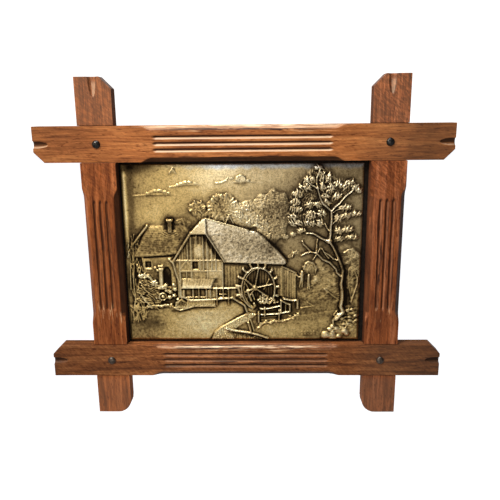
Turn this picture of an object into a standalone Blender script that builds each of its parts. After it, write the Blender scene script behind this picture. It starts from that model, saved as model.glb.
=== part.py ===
"""A pewter wall plaque with a watermill in relief, in an oak frame of four lapped members.

Metres, +Z up, +X to the right, the front towards -Y. The origin is on the back of the
top rail, at the middle of its length and height, where the frame meets the wall.
"""

import math

import bmesh
import bpy
from mathutils import Vector

# Frame: the opening, the stock of the four members and how far their ends pass the joints
OPENING_WIDTH = 0.256
OPENING_HEIGHT = 0.1966
FRAME_THICKNESS = 0.015
RAIL_WIDTH = 0.036
STILE_WIDTH = 0.036
SIDE_OVERHANG = 0.046
TOP_OVERHANG = 0.047
BOTTOM_OVERHANG = 0.0443

# Gap between faces that touch in the real frame
FIT_GAP = 0.0003

# Shaped ends of the members
RAIL_CORNER_CLIP = 0.0103
STILE_TOP_CLIP = 0.0114
STILE_FOOT_RADIUS = 0.0145
STILE_FOOT_STEPS = 6
RAIL_GOUGE_LENGTH = 0.016
RAIL_GOUGE_WIDTH = 0.0076
RAIL_GOUGE_DEPTH = 0.0032
STILE_GOUGE_LENGTH = 0.020
STILE_GOUGE_WIDTH = 0.0088
STILE_GOUGE_DEPTH = 0.0030

# Stopped flutes and chamfers, set back from the inner corners of the frame
FLUTE_COUNT = 3
FLUTE_PITCH = 0.0064
FLUTE_DEPTH = 0.0016
FLUTE_TOOL_RADIUS = 0.0024
FLUTE_RUN_OUT = 0.008
FLUTE_SETBACK = 0.0334
CHAMFER_WIDTH = 0.0048
CHAMFER_RUN_OUT = 0.011
CHAMFER_SETBACK = 0.0255

# Nails at the four crossings
NAIL_HEAD_RADIUS = 0.0042
NAIL_HEAD_HEIGHT = 0.0023
NAIL_SHANK_RADIUS = 0.0012
NAIL_LENGTH = 0.0115
NAIL_SIDES = 12
NAIL_HOLE_GAP = 0.0003

# Rebate at the back of the opening, and the board in it
REBATE_WIDTH = 0.005
REBATE_DEPTH = 0.003
BOARD_THICKNESS = 0.0025

# Plaque on the board, with the strip of board that shows on each side of it
PLAQUE_GAP_LEFT = 0.0015
PLAQUE_GAP_RIGHT = 0.0045
PLAQUE_GAP_TOP = 0.0029
PLAQUE_GAP_BOTTOM = 0.0017
PLAQUE_THICKNESS = 0.0016
PLAQUE_EDGE_ROUND = 0.0011
RELIEF_DEPTH = 0.0048

# The relief is drawn on a grid this many units wide and high. Its heights are shares
# of RELIEF_DEPTH: 0 is the plain ground, and every form is rooted below it.
DRAWING_WIDTH = 250.0
DRAWING_HEIGHT = 192.0
RELIEF_ROOT = -0.18

# Limbs at least this wide in the drawing are rounded, and thinner ones have a crest
ROUND_LIMB_WIDTH = 3.0

# How far a cutter passes the face that it cuts
CUT_PAST = 0.002

stile_centre = OPENING_WIDTH / 2 + STILE_WIDTH / 2
rail_centre = OPENING_HEIGHT / 2 + RAIL_WIDTH / 2
lap_depth = FRAME_THICKNESS / 2 + FIT_GAP / 2
board_front = FIT_GAP - REBATE_DEPTH
plaque_width = OPENING_WIDTH - PLAQUE_GAP_LEFT - PLAQUE_GAP_RIGHT
plaque_height = OPENING_HEIGHT - PLAQUE_GAP_TOP - PLAQUE_GAP_BOTTOM
plaque_back = board_front - FIT_GAP

for old in list(bpy.data.objects):
    bpy.data.objects.remove(old, do_unlink=True)

scene_objects = bpy.context.scene.collection.objects


def make_material(name, colour, roughness, metallic):
    """Return a Principled material."""
    material = bpy.data.materials.new(name)
    material.use_nodes = True
    shader = material.node_tree.nodes["Principled BSDF"]
    shader.inputs["Base Color"].default_value = (*colour, 1.0)
    shader.inputs["Roughness"].default_value = roughness
    shader.inputs["Metallic"].default_value = metallic
    return material


oak = make_material("reddish brown oak", (0.30, 0.12, 0.05), 0.5, 0.0)
pewter = make_material("antiqued pewter", (0.42, 0.33, 0.18), 0.38, 1.0)
nail_iron = make_material("blackened iron", (0.05, 0.045, 0.04), 0.4, 0.9)
hardboard = make_material("dark hardboard", (0.03, 0.025, 0.02), 0.8, 0.0)


def add_object(name, bm, material, parent):
    """Turn a bmesh into a named object with outward faces."""
    bmesh.ops.recalc_face_normals(bm, faces=bm.faces[:])
    bmesh.ops.triangulate(bm, faces=[face for face in bm.faces if len(face.verts) > 4])
    mesh = bpy.data.meshes.new(name)
    bm.to_mesh(mesh)
    bm.free()
    if material:
        mesh.materials.append(material)
    made = bpy.data.objects.new(name, mesh)
    made.parent = parent
    scene_objects.link(made)
    return made


def add_cutter(name, bm, parent):
    """Make a shape that only cuts or joins others."""
    cutter = add_object(name, bm, None, parent)
    cutter.hide_render = True
    cutter.display_type = "WIRE"
    return cutter


def combine(target, tool, operation, crossing_bodies=False):
    """Cut the tool from the target, or unite them."""
    boolean = target.modifiers.new(tool.name, "BOOLEAN")
    boolean.object = tool
    boolean.operation = operation
    boolean.solver = "EXACT"
    boolean.use_self = crossing_bodies


def add_loft(bm, rings):
    """Skin rings of points with the same count, and close both ends."""
    rows = [[bm.verts.new(point) for point in ring] for ring in rings]
    count = len(rows[0])
    for near, far in zip(rows, rows[1:]):
        for i in range(count):
            j = (i + 1) % count
            bm.faces.new((near[i], near[j], far[j], far[i]))
    bm.faces.new(rows[0])
    bm.faces.new(rows[-1])


def add_block(bm, low, high):
    """Add a box between two corners."""
    rings = []
    for x in (low[0], high[0]):
        corners = [(low[1], low[2]), (high[1], low[2]), (high[1], high[2]), (low[1], high[2])]
        rings.append([(x, y, z) for y, z in corners])
    add_loft(bm, rings)


# The four oak members. Each is modelled along its own X, with its front towards -Y,
# its middle at the middle of the opening, and the opening on the side inner * Z.

def member_outline(start, end, width, inner, start_shape, end_shape):
    """Return the front outline, with the two inner corners clipped or rounded."""
    outline = [(start, -inner * width / 2), (end, -inner * width / 2)]
    for x, way, (shape, size) in ((end, 1, end_shape), (start, -1, start_shape)):
        steps = STILE_FOOT_STEPS if shape == "round" else 1
        corner = []
        for i in range(steps + 1):
            angle = math.pi / 2 * i / steps
            corner.append((
                x - way * size * (1 - math.cos(angle)),
                inner * (width / 2 - size * (1 - math.sin(angle))),
            ))
        outline += corner if way > 0 else corner[::-1]
    return outline


def add_gouge(bm, tip, end, width, depth):
    """Add the half-spindle that a gouge cuts into a member's end, pointed at its tip."""
    rings = []
    steps, sides = 4, 8
    for i in range(steps + 1):
        share = i / steps
        x = tip + (end - tip) * share ** 1.6
        girth = math.sqrt(max(1 - (1 - share ** 1.6) ** 2, 0.0004))
        ring = []
        for k in range(sides):
            angle = 2 * math.pi * (k + 0.5) / sides
            across = width / 2 * girth * math.cos(angle)
            below = depth * girth * math.sin(angle)
            ring.append((x, -FRAME_THICKNESS + below, across))
        rings.append(ring)
    past = math.copysign(CUT_PAST, end - tip)
    rings.append([(x + past, y, z) for x, y, z in rings[-1]])
    add_loft(bm, rings)


def add_flute(bm, half_length, offset):
    """Add a round groove that runs out to a point at both ends."""
    run_out_steps, arc_steps = 2, 4
    stations = []
    for i in range(run_out_steps + 1):
        share = i / run_out_steps
        depth = FLUTE_DEPTH * share ** 1.7 - FIT_GAP * (1 - share)
        stations.append((half_length - FLUTE_RUN_OUT * share, depth))
    stations = [(-x, depth) for x, depth in stations] + stations[::-1]
    rings = []
    for x, depth in stations:
        centre = -FRAME_THICKNESS + depth - FLUTE_TOOL_RADIUS
        ring = []
        for k in range(arc_steps + 1):
            angle = math.pi * (k / arc_steps - 0.5)
            y = centre + FLUTE_TOOL_RADIUS * math.cos(angle)
            ring.append((x, y, offset + FLUTE_TOOL_RADIUS * math.sin(angle)))
        top = -FRAME_THICKNESS - FLUTE_TOOL_RADIUS - CUT_PAST
        ring.append((x, top, offset + FLUTE_TOOL_RADIUS))
        ring.append((x, top, offset - FLUTE_TOOL_RADIUS))
        rings.append(ring)
    add_loft(bm, rings)


def add_chamfer(bm, half_length, width, side):
    """Add a chamfer on a front edge that runs out at both ends."""
    steps = 3
    stations = []
    for i in range(steps + 1):
        share = i / steps
        size = CHAMFER_WIDTH * math.sin(math.pi / 2 * share) ** 1.3 - FIT_GAP * (1 - share)
        stations.append((half_length - CHAMFER_RUN_OUT * share, size))
    stations = [(-x, size) for x, size in stations] + stations[::-1]
    rings = []
    for x, size in stations:
        edge = width / 2 - size
        rings.append([
            (x, -FRAME_THICKNESS - CUT_PAST, side * (edge - CUT_PAST)),
            (x, -FRAME_THICKNESS + size + CUT_PAST, side * (width / 2 + CUT_PAST)),
            (x, -FRAME_THICKNESS - CUT_PAST, side * (width / 2 + CUT_PAST)),
        ])
    add_loft(bm, rings)


def add_member(name, parent, start, end, width, inner, shapes, crossing, laps_behind, gouges):
    """Make one member of the frame, with its laps, rebate, nail holes and carving."""
    bm = bmesh.new()
    outline = member_outline(start, end, width, inner, *shapes)
    add_loft(bm, [[(x, y, z) for x, z in outline] for y in (-FRAME_THICKNESS, 0.0)])
    member = add_object(name, bm, oak, parent)

    crossing_centre, crossing_width = crossing
    opening_half = crossing_centre - crossing_width / 2
    notch_half = crossing_width / 2 + FIT_GAP
    notch_y = (-lap_depth, CUT_PAST)
    if not laps_behind:
        notch_y = (-FRAME_THICKNESS - CUT_PAST, lap_depth - FRAME_THICKNESS)
    bm = bmesh.new()
    for side in (-1, 1):
        low_x = side * crossing_centre - notch_half
        high_x = side * crossing_centre + notch_half
        add_block(bm, (low_x, notch_y[0], -width), (high_x, notch_y[1], width))
    combine(member, add_cutter(name + "_laps", bm, member), "DIFFERENCE")

    bm = bmesh.new()
    rebate_half = opening_half + (FIT_GAP if laps_behind else REBATE_WIDTH)
    z_limits = sorted((inner * (width / 2 - REBATE_WIDTH), inner * (width / 2 + CUT_PAST)))
    add_block(bm, (-rebate_half, -REBATE_DEPTH, z_limits[0]), (rebate_half, CUT_PAST, z_limits[1]))
    combine(member, add_cutter(name + "_rebate", bm, member), "DIFFERENCE")

    bm = bmesh.new()
    hole_radius = NAIL_SHANK_RADIUS + NAIL_HOLE_GAP
    hole_end = NAIL_LENGTH + NAIL_HOLE_GAP - FRAME_THICKNESS
    for side in (-1, 1):
        rings = []
        for y in (-FRAME_THICKNESS - CUT_PAST, hole_end):
            ring = []
            for k in range(NAIL_SIDES):
                angle = 2 * math.pi * k / NAIL_SIDES
                x = side * crossing_centre + hole_radius * math.cos(angle)
                ring.append((x, y, hole_radius * math.sin(angle)))
            rings.append(ring)
        add_loft(bm, rings)
    combine(member, add_cutter(name + "_nail_holes", bm, member), "DIFFERENCE")

    bm = bmesh.new()
    for k in range(FLUTE_COUNT):
        add_flute(bm, opening_half - FLUTE_SETBACK, FLUTE_PITCH * (k - (FLUTE_COUNT - 1) / 2))
    for side in (-1, 1):
        add_chamfer(bm, opening_half - CHAMFER_SETBACK, width, side)
    for tip, gouge_end, gouge_width, gouge_depth in gouges:
        add_gouge(bm, tip, gouge_end, gouge_width, gouge_depth)
    combine(member, add_cutter(name + "_carving", bm, member), "DIFFERENCE")
    return member


opening = bpy.data.objects.new("opening_centre", None)
opening.location = (0.0, 0.0, -rail_centre)
scene_objects.link(opening)

rail_end = stile_centre + STILE_WIDTH / 2 + SIDE_OVERHANG
rail_gouges = [
    (side * (rail_end - RAIL_GOUGE_LENGTH), side * rail_end, RAIL_GOUGE_WIDTH, RAIL_GOUGE_DEPTH)
    for side in (-1, 1)
]
for name, side in (("top_rail", 1), ("bottom_rail", -1)):
    rail = add_member(
        name, opening, -rail_end, rail_end, RAIL_WIDTH, -side,
        (("clip", RAIL_CORNER_CLIP), ("clip", RAIL_CORNER_CLIP)),
        (stile_centre, STILE_WIDTH), True, rail_gouges,
    )
    rail.location = (0.0, 0.0, side * rail_centre)

stile_top = rail_centre + RAIL_WIDTH / 2 + TOP_OVERHANG
stile_foot = -(rail_centre + RAIL_WIDTH / 2 + BOTTOM_OVERHANG)
stile_gouges = [(stile_top - STILE_GOUGE_LENGTH, stile_top, STILE_GOUGE_WIDTH, STILE_GOUGE_DEPTH)]
for name, side in (("left_stile", -1), ("right_stile", 1)):
    stile = add_member(
        name, opening, stile_foot, stile_top, STILE_WIDTH, side,
        (("round", STILE_FOOT_RADIUS), ("clip", STILE_TOP_CLIP)),
        (rail_centre, RAIL_WIDTH), False, stile_gouges,
    )
    stile.location = (side * stile_centre, 0.0, 0.0)
    stile.rotation_euler = (0.0, -math.pi / 2, 0.0)


# Domed nails, turned about the axis that they are driven along

def add_nail(name, parent, location):
    """Make a nail with its axis along Y and the underside of its head just off the wood."""
    head_base = -FIT_GAP
    profile = [(0.0, head_base - NAIL_HEAD_HEIGHT)]
    dome_steps = 3
    for i in range(1, dome_steps + 1):
        angle = math.pi / 2 * i / dome_steps
        y = head_base - NAIL_HEAD_HEIGHT * math.cos(angle)
        profile.append((NAIL_HEAD_RADIUS * math.sin(angle), y))
    profile.append((NAIL_SHANK_RADIUS, head_base))
    profile.append((NAIL_SHANK_RADIUS, NAIL_LENGTH - 3 * NAIL_SHANK_RADIUS))
    profile.append((0.0, NAIL_LENGTH))
    bm = bmesh.new()
    verts = [bm.verts.new((radius, y, 0.0)) for radius, y in profile]
    edges = [bm.edges.new(pair) for pair in zip(verts, verts[1:])]
    bmesh.ops.spin(
        bm, geom=verts + edges, cent=(0.0, 0.0, 0.0), axis=(0.0, 1.0, 0.0),
        angle=2 * math.pi, steps=NAIL_SIDES,
    )
    bmesh.ops.remove_doubles(bm, verts=bm.verts[:], dist=1e-6)
    nail = add_object(name, bm, nail_iron, parent)
    nail.data.shade_smooth()
    nail.data.set_sharp_from_angle(angle=math.radians(50))
    nail.location = location


for height_name, up in (("top", 1), ("bottom", -1)):
    for side_name, across in (("left", -1), ("right", 1)):
        place = (across * stile_centre, -FRAME_THICKNESS, up * rail_centre)
        add_nail("nail_" + height_name + "_" + side_name, opening, place)


# Backing board in the rebate

bm = bmesh.new()
board_half_width = OPENING_WIDTH / 2 + REBATE_WIDTH - FIT_GAP
board_half_height = OPENING_HEIGHT / 2 + REBATE_WIDTH - FIT_GAP
add_block(
    bm,
    (-board_half_width, board_front, -board_half_height),
    (board_half_width, board_front + BOARD_THICKNESS, board_half_height),
)
add_object("backing_board", bm, hardboard, opening)


# The relief. A point is (u, v): units to the right of and above the plate's lower
# left corner. Forms are closed bodies that the plate is united with.

form_offset = Vector((0.0, 0.0, 0.0))


def begin_form():
    """Set the next form off by a hair of its own, so that no two forms share a plane."""
    for axis, step, reach in ((0, 0.618034, 0.16), (1, 0.754878, 0.16), (2, 0.569840, 0.008)):
        form_offset[axis] = (form_offset[axis] + step * reach) % reach


def spot(u, v, height):
    """Return the place of a drawing point at a share of the relief's depth."""
    x = ((u + form_offset.x) / DRAWING_WIDTH - 0.5) * plaque_width
    z = ((v + form_offset.y) / DRAWING_HEIGHT - 0.5) * plaque_height
    return Vector((x, -(height + form_offset.z) * RELIEF_DEPTH, z))


def add_patch(bm, outline, heights, root=RELIEF_ROOT):
    """Add a flat or sloping form over an outline, with one height or one for each point."""
    begin_form()
    if not isinstance(heights, (list, tuple)):
        heights = [heights] * len(outline)
    upper = [spot(u, v, height) for (u, v), height in zip(outline, heights)]
    add_loft(bm, [[spot(u, v, root) for u, v in outline], upper])


def add_bar(bm, start, end, width, height, end_height=None):
    """Add a straight bar with sloped sides, for beams, posts, verges and copings."""
    begin_form()
    end_height = height if end_height is None else end_height
    along = (Vector(end) - Vector(start)).normalized()
    side = Vector((-along.y, along.x))
    rings = []
    for (u, v), top in ((start, height), (end, end_height)):
        ring = []
        for offset, level in ((-0.5, RELIEF_ROOT), (-0.3, top), (0.3, top), (0.5, RELIEF_ROOT)):
            place = Vector((u, v)) + side * (offset * width)
            ring.append(spot(place.x, place.y, level))
        rings.append(ring)
    add_loft(bm, rings)


def add_limb(bm, points, start_width, end_width, start_height, end_height):
    """Add a tapering rounded strip along a line of points, for trunks, limbs and logs."""
    begin_form()
    rings = []
    last = len(points) - 1
    for i, point in enumerate(points):
        share = i / last
        width = start_width + (end_width - start_width) * share
        top = start_height + (end_height - start_height) * share
        before = Vector(points[max(i - 1, 0)])
        after = Vector(points[min(i + 1, last)])
        along = (after - before).normalized()
        side = Vector((-along.y, along.x))
        section = [(-0.5, RELIEF_ROOT), (0.0, top), (0.5, RELIEF_ROOT)]
        if start_width >= ROUND_LIMB_WIDTH:
            section = [section[0], (-0.42, 0.55 * top), section[1], (0.42, 0.55 * top), section[2]]
        ring = []
        for offset, level in section:
            place = Vector(point) + side * (offset * width)
            ring.append(spot(place.x, place.y, level))
        rings.append(ring)
    add_loft(bm, rings)


def add_tuft(bm, u, v, half_width, half_height, height, turn=0.0, ground=0.0):
    """Add a pointed lump, as wide as stated where it leaves the ground under it."""
    begin_form()
    sides, sink = 5, 0.05
    spread = (height - ground + sink) / (height - ground)
    crown = bm.verts.new(spot(u, v, height))
    foot, waist = [], []
    for k in range(sides):
        angle = turn + 2 * math.pi * k / sides
        place = (u + spread * half_width * math.cos(angle), v + spread * half_height * math.sin(angle))
        foot.append(bm.verts.new(spot(*place, RELIEF_ROOT)))
        waist.append(bm.verts.new(spot(*place, ground - sink)))
    for i in range(sides):
        j = (i + 1) % sides
        bm.faces.new((foot[i], foot[j], waist[j], waist[i]))
        bm.faces.new((waist[i], waist[j], crown))
    bm.faces.new(foot)


def add_mound(bm, u, v, half_width, half_height, height, sides=8, turn=0.0):
    """Add a low dome with a shoulder, for bushes, clouds and boulders."""
    begin_form()
    outer, inner = [], []
    for k in range(sides):
        angle = turn + 2 * math.pi * k / sides
        across, up = half_width * math.cos(angle), half_height * math.sin(angle)
        outer.append(bm.verts.new(spot(u + across, v + up, RELIEF_ROOT)))
        inner.append(bm.verts.new(spot(u + 0.8 * across, v + 0.8 * up, 0.7 * height)))
    crown = bm.verts.new(spot(u, v, height))
    for i in range(sides):
        j = (i + 1) % sides
        bm.faces.new((outer[i], outer[j], inner[j], inner[i]))
        bm.faces.new((inner[i], inner[j], crown))
    bm.faces.new(outer)


def add_hoop(bm, u, v, half_width, half_height, thickness, height, sides=18):
    """Add an oval ring that stands up from the plate."""
    begin_form()
    rows = []
    for k in range(sides):
        angle = 2 * math.pi * k / sides
        row = []
        for inset, level in ((0, RELIEF_ROOT), (0.2, height), (0.8, height), (1, RELIEF_ROOT)):
            across = (half_width - inset * thickness) * math.cos(angle)
            up = (half_height - inset * thickness) * math.sin(angle)
            row.append(bm.verts.new(spot(u + across, v + up, level)))
        rows.append(row)
    for i in range(sides):
        near, far = rows[i], rows[(i + 1) % sides]
        for k in range(4):
            bm.faces.new((near[k], near[(k + 1) % 4], far[(k + 1) % 4], far[k]))


def add_pocket(bm, outline, floor):
    """Add a cutter that sinks a recess down to a floor height."""
    add_patch(bm, outline, 1.4, root=floor)


def oval(u, v, half_width, half_height, sides=14):
    """Return the points of an oval."""
    angles = [2 * math.pi * k / sides for k in range(sides)]
    return [(u + half_width * math.cos(a), v + half_height * math.sin(a)) for a in angles]


def add_courses(bm, ridge, eave, ridge_height, eave_height, count):
    """Add overlapping courses of shingles between a ridge line and an eave line."""
    lap = 0.055
    for k in range(count):
        edges = []
        for share in (k / count, (k + 1.12) / count):
            share = min(share, 1.0)
            left = Vector(ridge[0]).lerp(Vector(eave[0]), share)
            right = Vector(ridge[1]).lerp(Vector(eave[1]), share)
            level = ridge_height + (eave_height - ridge_height) * share
            edges.append((tuple(left), tuple(right), level))
        (upper_left, upper_right, upper), (lower_left, lower_right, lower) = edges
        outline = [upper_left, upper_right, lower_right, lower_left]
        add_patch(bm, outline, [upper - 0.01, upper - 0.01, lower + lap, lower + lap])


def add_scatter(add_one, u, v, spread_u, spread_v, count, turn):
    """Call add_one at points that fill an oval evenly, in the order of a sunflower's seeds."""
    golden_angle = math.pi * (3 - math.sqrt(5))
    for k in range(count):
        reach = math.sqrt((k + 0.5) / count)
        angle = turn + golden_angle * k
        add_one(u + spread_u * reach * math.cos(angle), v + spread_v * reach * math.sin(angle), k)


def add_leaves(bm, u, v, spread_u, spread_v, count, turn=0.0, size=3.3, height=0.56, ground=0.0):
    """Add a cluster of leaf tufts."""
    def one_tuft(tuft_u, tuft_v, k):
        grown = size * (0.8 + 0.4 * math.sin(2.7 * k + turn) ** 2)
        level = height * (0.85 + 0.25 * math.cos(1.9 * k + turn))
        add_tuft(bm, tuft_u, tuft_v, grown, 0.76 * grown, level, turn + k, ground)
    add_scatter(one_tuft, u, v, spread_u, spread_v, count, turn)


def model_ground(bm):
    """The lawn below the mill, the bank at its right and the hedges behind."""
    lawn = [(2.5, 2.5), (247.5, 2.5), (247.5, 42), (228, 40), (208, 56), (183, 56)]
    lawn += [(182, 30), (140, 14), (66, 37), (46, 41.5), (23, 38.6), (2.5, 41)]
    add_patch(bm, lawn, 0.17)
    add_patch(bm, [(118, 3), (247, 3), (247, 38), (214, 33), (186, 28.5), (146, 17), (138, 13)], 0.24)
    add_patch(bm, [(229.5, 42), (247, 42), (247, 88), (239, 103), (231, 99)], [0.2, 0.24, 0.3, 0.28, 0.24])
    for u, v, half_width, half_height, height in (
        (105, 147, 17.5, 16.5, 0.34), (78.5, 146, 8.5, 8, 0.3), (130, 139, 16.5, 15.5, 0.4),
        (157, 137, 16.5, 28, 0.36), (62, 131, 8.5, 7, 0.26), (148, 118, 10, 12, 0.3),
    ):
        add_mound(bm, u, v, half_width, half_height, height, 9, u)
        crown_tufts = 3
        for k in range(crown_tufts):
            angle = math.pi * (0.2 + 0.6 * k / (crown_tufts - 1))
            edge_u = u + 0.86 * half_width * math.cos(angle)
            edge_v = v + 0.86 * half_height * math.sin(angle)
            add_tuft(bm, edge_u, edge_v, 0.3 * half_width, 0.3 * half_height, height, k)


def model_annex(bm):
    """The low house at the left, with its chimney."""
    add_patch(bm, [(19, 60), (50, 60), (50, 97), (19, 97)], 0.33)
    add_courses(bm, [(25.5, 127.6), (64, 128.4)], [(8.5, 94.3), (54.5, 97)], 0.32, 0.5, 5)
    add_patch(bm, [(45.6, 120), (52, 120), (52, 136), (45.6, 136)], 0.66)
    add_patch(bm, [(44.6, 132), (53, 132), (53, 134.6), (44.6, 134.6)], 0.74)


def model_mill(bm):
    """The mill: gable wall, half-hip, roof, boarded side, shed, lean-to and foot wall."""
    gable = [(55, 49), (103.6, 49), (103.6, 91), (86.5, 120.5), (70.5, 120.5), (53.5, 91)]
    add_patch(bm, gable, 0.52)
    add_patch(bm, [(103, 49), (124, 49), (168, 51), (168, 90), (103, 90)], 0.38)
    add_patch(bm, [(166, 49), (181.5, 49), (181.5, 75), (167, 82)], 0.3)
    add_courses(bm, [(85, 135.6), (131.6, 122.8)], [(105.6, 89.2), (170.5, 86.4)], 0.46, 0.8, 7)
    add_patch(bm, [(69.5, 118.8), (87.5, 118.8), (86, 135.4), (83, 135)], [0.86, 0.86, 0.6, 0.6])
    add_patch(bm, [(59.4, 61), (61.6, 71), (95, 70.5), (91, 61)], [0.92, 0.62, 0.62, 0.92])
    add_patch(bm, [(64, 39), (95, 39), (95, 48), (64, 48)], 0.44)
    add_patch(bm, [(94, 34), (127, 33), (121, 46), (113, 50), (94, 49)], 0.4)


def model_openings(bm):
    """Windows, the arch by the annex, the wheel pit and the shade below the lean-to."""
    for u, v, width, height, floor in (
        (21.4, 83.2, 6, 6, 0.06), (71.8, 81.6, 5.2, 7.6, 0.1), (62.4, 50.5, 7.4, 8.6, 0.1),
        (72.4, 50.5, 4, 8.6, 0.2), (78.4, 50.5, 6.2, 8.6, 0.16), (97.8, 50, 10.4, 9, 0.12),
        (59.2, 70.8, 9.6, 7.4, 0.4),
    ):
        add_pocket(bm, [(u, v), (u + width, v), (u + width, v + height), (u, v + height)], floor)
    add_pocket(bm, [(39.8, 62), (48.6, 62), (48.2, 79), (45.5, 83.5), (42, 83.5), (39.8, 79)], 0.02)
    add_pocket(bm, oval(141, 62, 21.5, 27.5), 0.07)
    add_pocket(bm, [(87.2, 119), (90.5, 119), (108.6, 90.6), (102, 90.6)], 0.3)
    add_pocket(bm, [(232.4, 40), (239, 40), (237, 88), (231.5, 82)], 0.0)


def model_timbers(bm):
    """Verges, beams, posts and bright panels of the houses, and the copings below."""
    add_bar(bm, (71.3, 121.5), (51.7, 91), 2.4, 0.9)
    add_bar(bm, (86.4, 120.5), (105.5, 89.6), 2.2, 0.96)
    add_bar(bm, (25.4, 128.6), (7, 105.6), 2.6, 0.62, 0.5)
    add_bar(bm, (54, 90.7), (103.5, 90.7), 1.8, 0.72)
    add_bar(bm, (57, 79.3), (103, 79.3), 1.8, 0.7)
    add_bar(bm, (57.2, 80), (64.8, 90), 1.6, 0.68)
    posts = ((58, 49.5, 91), (70.4, 71, 114), (83.2, 71, 118), (87.2, 61, 112), (103.4, 49, 90))
    for u, low, high in posts:
        add_bar(bm, (u, low), (u, high), 1.7, 0.74)
    add_patch(bm, [(73.8, 96), (82, 96), (82, 106), (73.8, 106)], 0.63)
    add_patch(bm, [(89, 71), (102, 71), (102, 78), (89, 78)], 0.62)
    for k in range(5):
        add_bar(bm, (106 + 3.2 * k, 50), (106 + 3.2 * k, 88.5), 1.3, 0.5)
    for k in range(4):
        add_bar(bm, (169 + 3.6 * k, 50), (169 + 3.6 * k, 79.5 - 1.6 * k), 1.5, 0.42)
    add_bar(bm, (166, 83.6), (181.8, 76.2), 1.8, 0.52)
    for u in (71.2, 77.2, 85.4, 89.6):
        add_bar(bm, (u, 48.5), (u, 61), 1.5, 0.78)
    add_bar(bm, (59, 60.2), (92, 60.2), 1.2, 0.98)
    add_bar(bm, (93, 59.8), (118.6, 60.4), 1.6, 0.84)
    for u in (96.6, 109.2):
        add_bar(bm, (u, 41), (u, 60), 1.6, 0.76)
    for start, end in (
        ((58.6, 50.6), (68.8, 45.9)), ((68.4, 46.2), (95, 47.6)), ((94.6, 47.4), (113.8, 49)),
        ((113.2, 49), (126.6, 40.4)), ((126.3, 41), (129.6, 30.6)), ((47, 39.4), (56.9, 35.2)),
        ((56.4, 35.2), (70.8, 39)),
    ):
        add_bar(bm, start, end, 2.2, 0.62)


def model_wheel(bm):
    """The water wheel, its paddles, and the buckets and stones below it."""
    hub_u, hub_v = 138.5, 60.5
    rim_u, rim_v, reach_u, reach_v = 141.0, 59.5, 18.5, 24.0
    add_hoop(bm, rim_u, rim_v, reach_u, reach_v, 2.3, 0.92)
    spokes = 8
    for k in range(spokes):
        angle = 2 * math.pi * (k + 0.32) / spokes
        tip_u = rim_u + (reach_u - 1.2) * math.cos(angle)
        tip_v = rim_v + (reach_v - 1.2) * math.sin(angle)
        add_bar(bm, (hub_u, hub_v), (tip_u, tip_v), 1.9, 0.78, 0.84)
    add_mound(bm, hub_u, hub_v, 4.4, 4.8, 1.0, 8)
    paddles = 15
    for k in range(paddles):
        angle = 2 * math.pi * k / paddles
        if math.sin(angle) > -0.45:
            near, far = [
                (rim_u + (reach_u + out) * math.cos(angle), rim_v + (reach_v + out) * math.sin(angle))
                for out in (0.2, 4.2)
            ]
            add_bar(bm, near, far, 2.7, 0.8)

    def one_stone(stone_u, stone_v, k):
        add_tuft(bm, stone_u, stone_v, 2.7, 2.2, 0.54 + 0.12 * (k % 3), 0.7 * k, 0.07)
    add_scatter(one_stone, 131, 46.5, 5.5, 3.8, 3, 0.4)
    add_scatter(one_stone, 149, 45.5, 9, 4.6, 6, 1.1)
    add_limb(bm, [(136.2, 42), (138.2, 38.5), (137, 34.3)], 2.2, 3.2, 0.7, 0.8)


def model_bridge(bm):
    """The footbridge rails over the race, with the stone edging below."""
    for start, end in (
        ((142.6, 36.8), (151, 36.8)), ((150.4, 36.7), (164.2, 40)), ((143.2, 30), (163, 31.2)),
        ((162.6, 31.2), (175.4, 33.8)), ((164.4, 46.6), (176, 41.2)),
    ):
        add_bar(bm, start, end, 2.0, 0.84)
    posts = ((141.4, 20.7, 33), (147.9, 28, 38.8), (163.4, 24, 35), (165.4, 33, 47), (175, 33, 42))
    for u, low, high in posts:
        add_bar(bm, (u, low), (u, high), 2.0, 0.9)
    add_bar(bm, (183.2, 36.5), (183.2, 46.5), 3.0, 0.66)
    edging = [(140, 13.6), (147.6, 20.6), (158.6, 22.4), (172.9, 23.6), (185.7, 28.8)]
    add_limb(bm, edging, 3.4, 2.4, 0.5, 0.4)


def model_ramp(bm):
    """The stone ramp down to the water, with the log and the brace beside it."""
    ramp = [(130.5, 31.6), (115.7, 23.8), (100, 14.5), (89.5, 2.8)]
    ramp += [(112, 2.8), (117, 14), (130, 22), (139.4, 30)]
    add_patch(bm, ramp, 0.33)
    add_limb(bm, [(130.5, 31.6), (115.7, 23.8), (100, 14.5), (89.8, 2.8)], 2.4, 3.0, 0.56, 0.5)

    def one_stone(stone_u, stone_v, k):
        add_tuft(bm, stone_u, stone_v, 3.0, 2.4, 0.54 + 0.05 * (k % 3), 1.3 * k, 0.33)
    add_scatter(one_stone, 99.5, 8, 5.4, 3.4, 4, 0.6)
    for k in range(4):
        add_tuft(bm, 108 + 6.2 * k, 16.6 + 3.9 * k, 2.9, 2.0, 0.54, k, 0.33)
    add_limb(bm, [(106.5, 13.6), (115.7, 11.4), (130, 9.3), (140.7, 6.4), (151.4, 3)], 3.2, 2.4, 0.8, 0.66)
    add_bar(bm, (130, 21), (132.9, 9.5), 1.8, 0.66)


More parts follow.
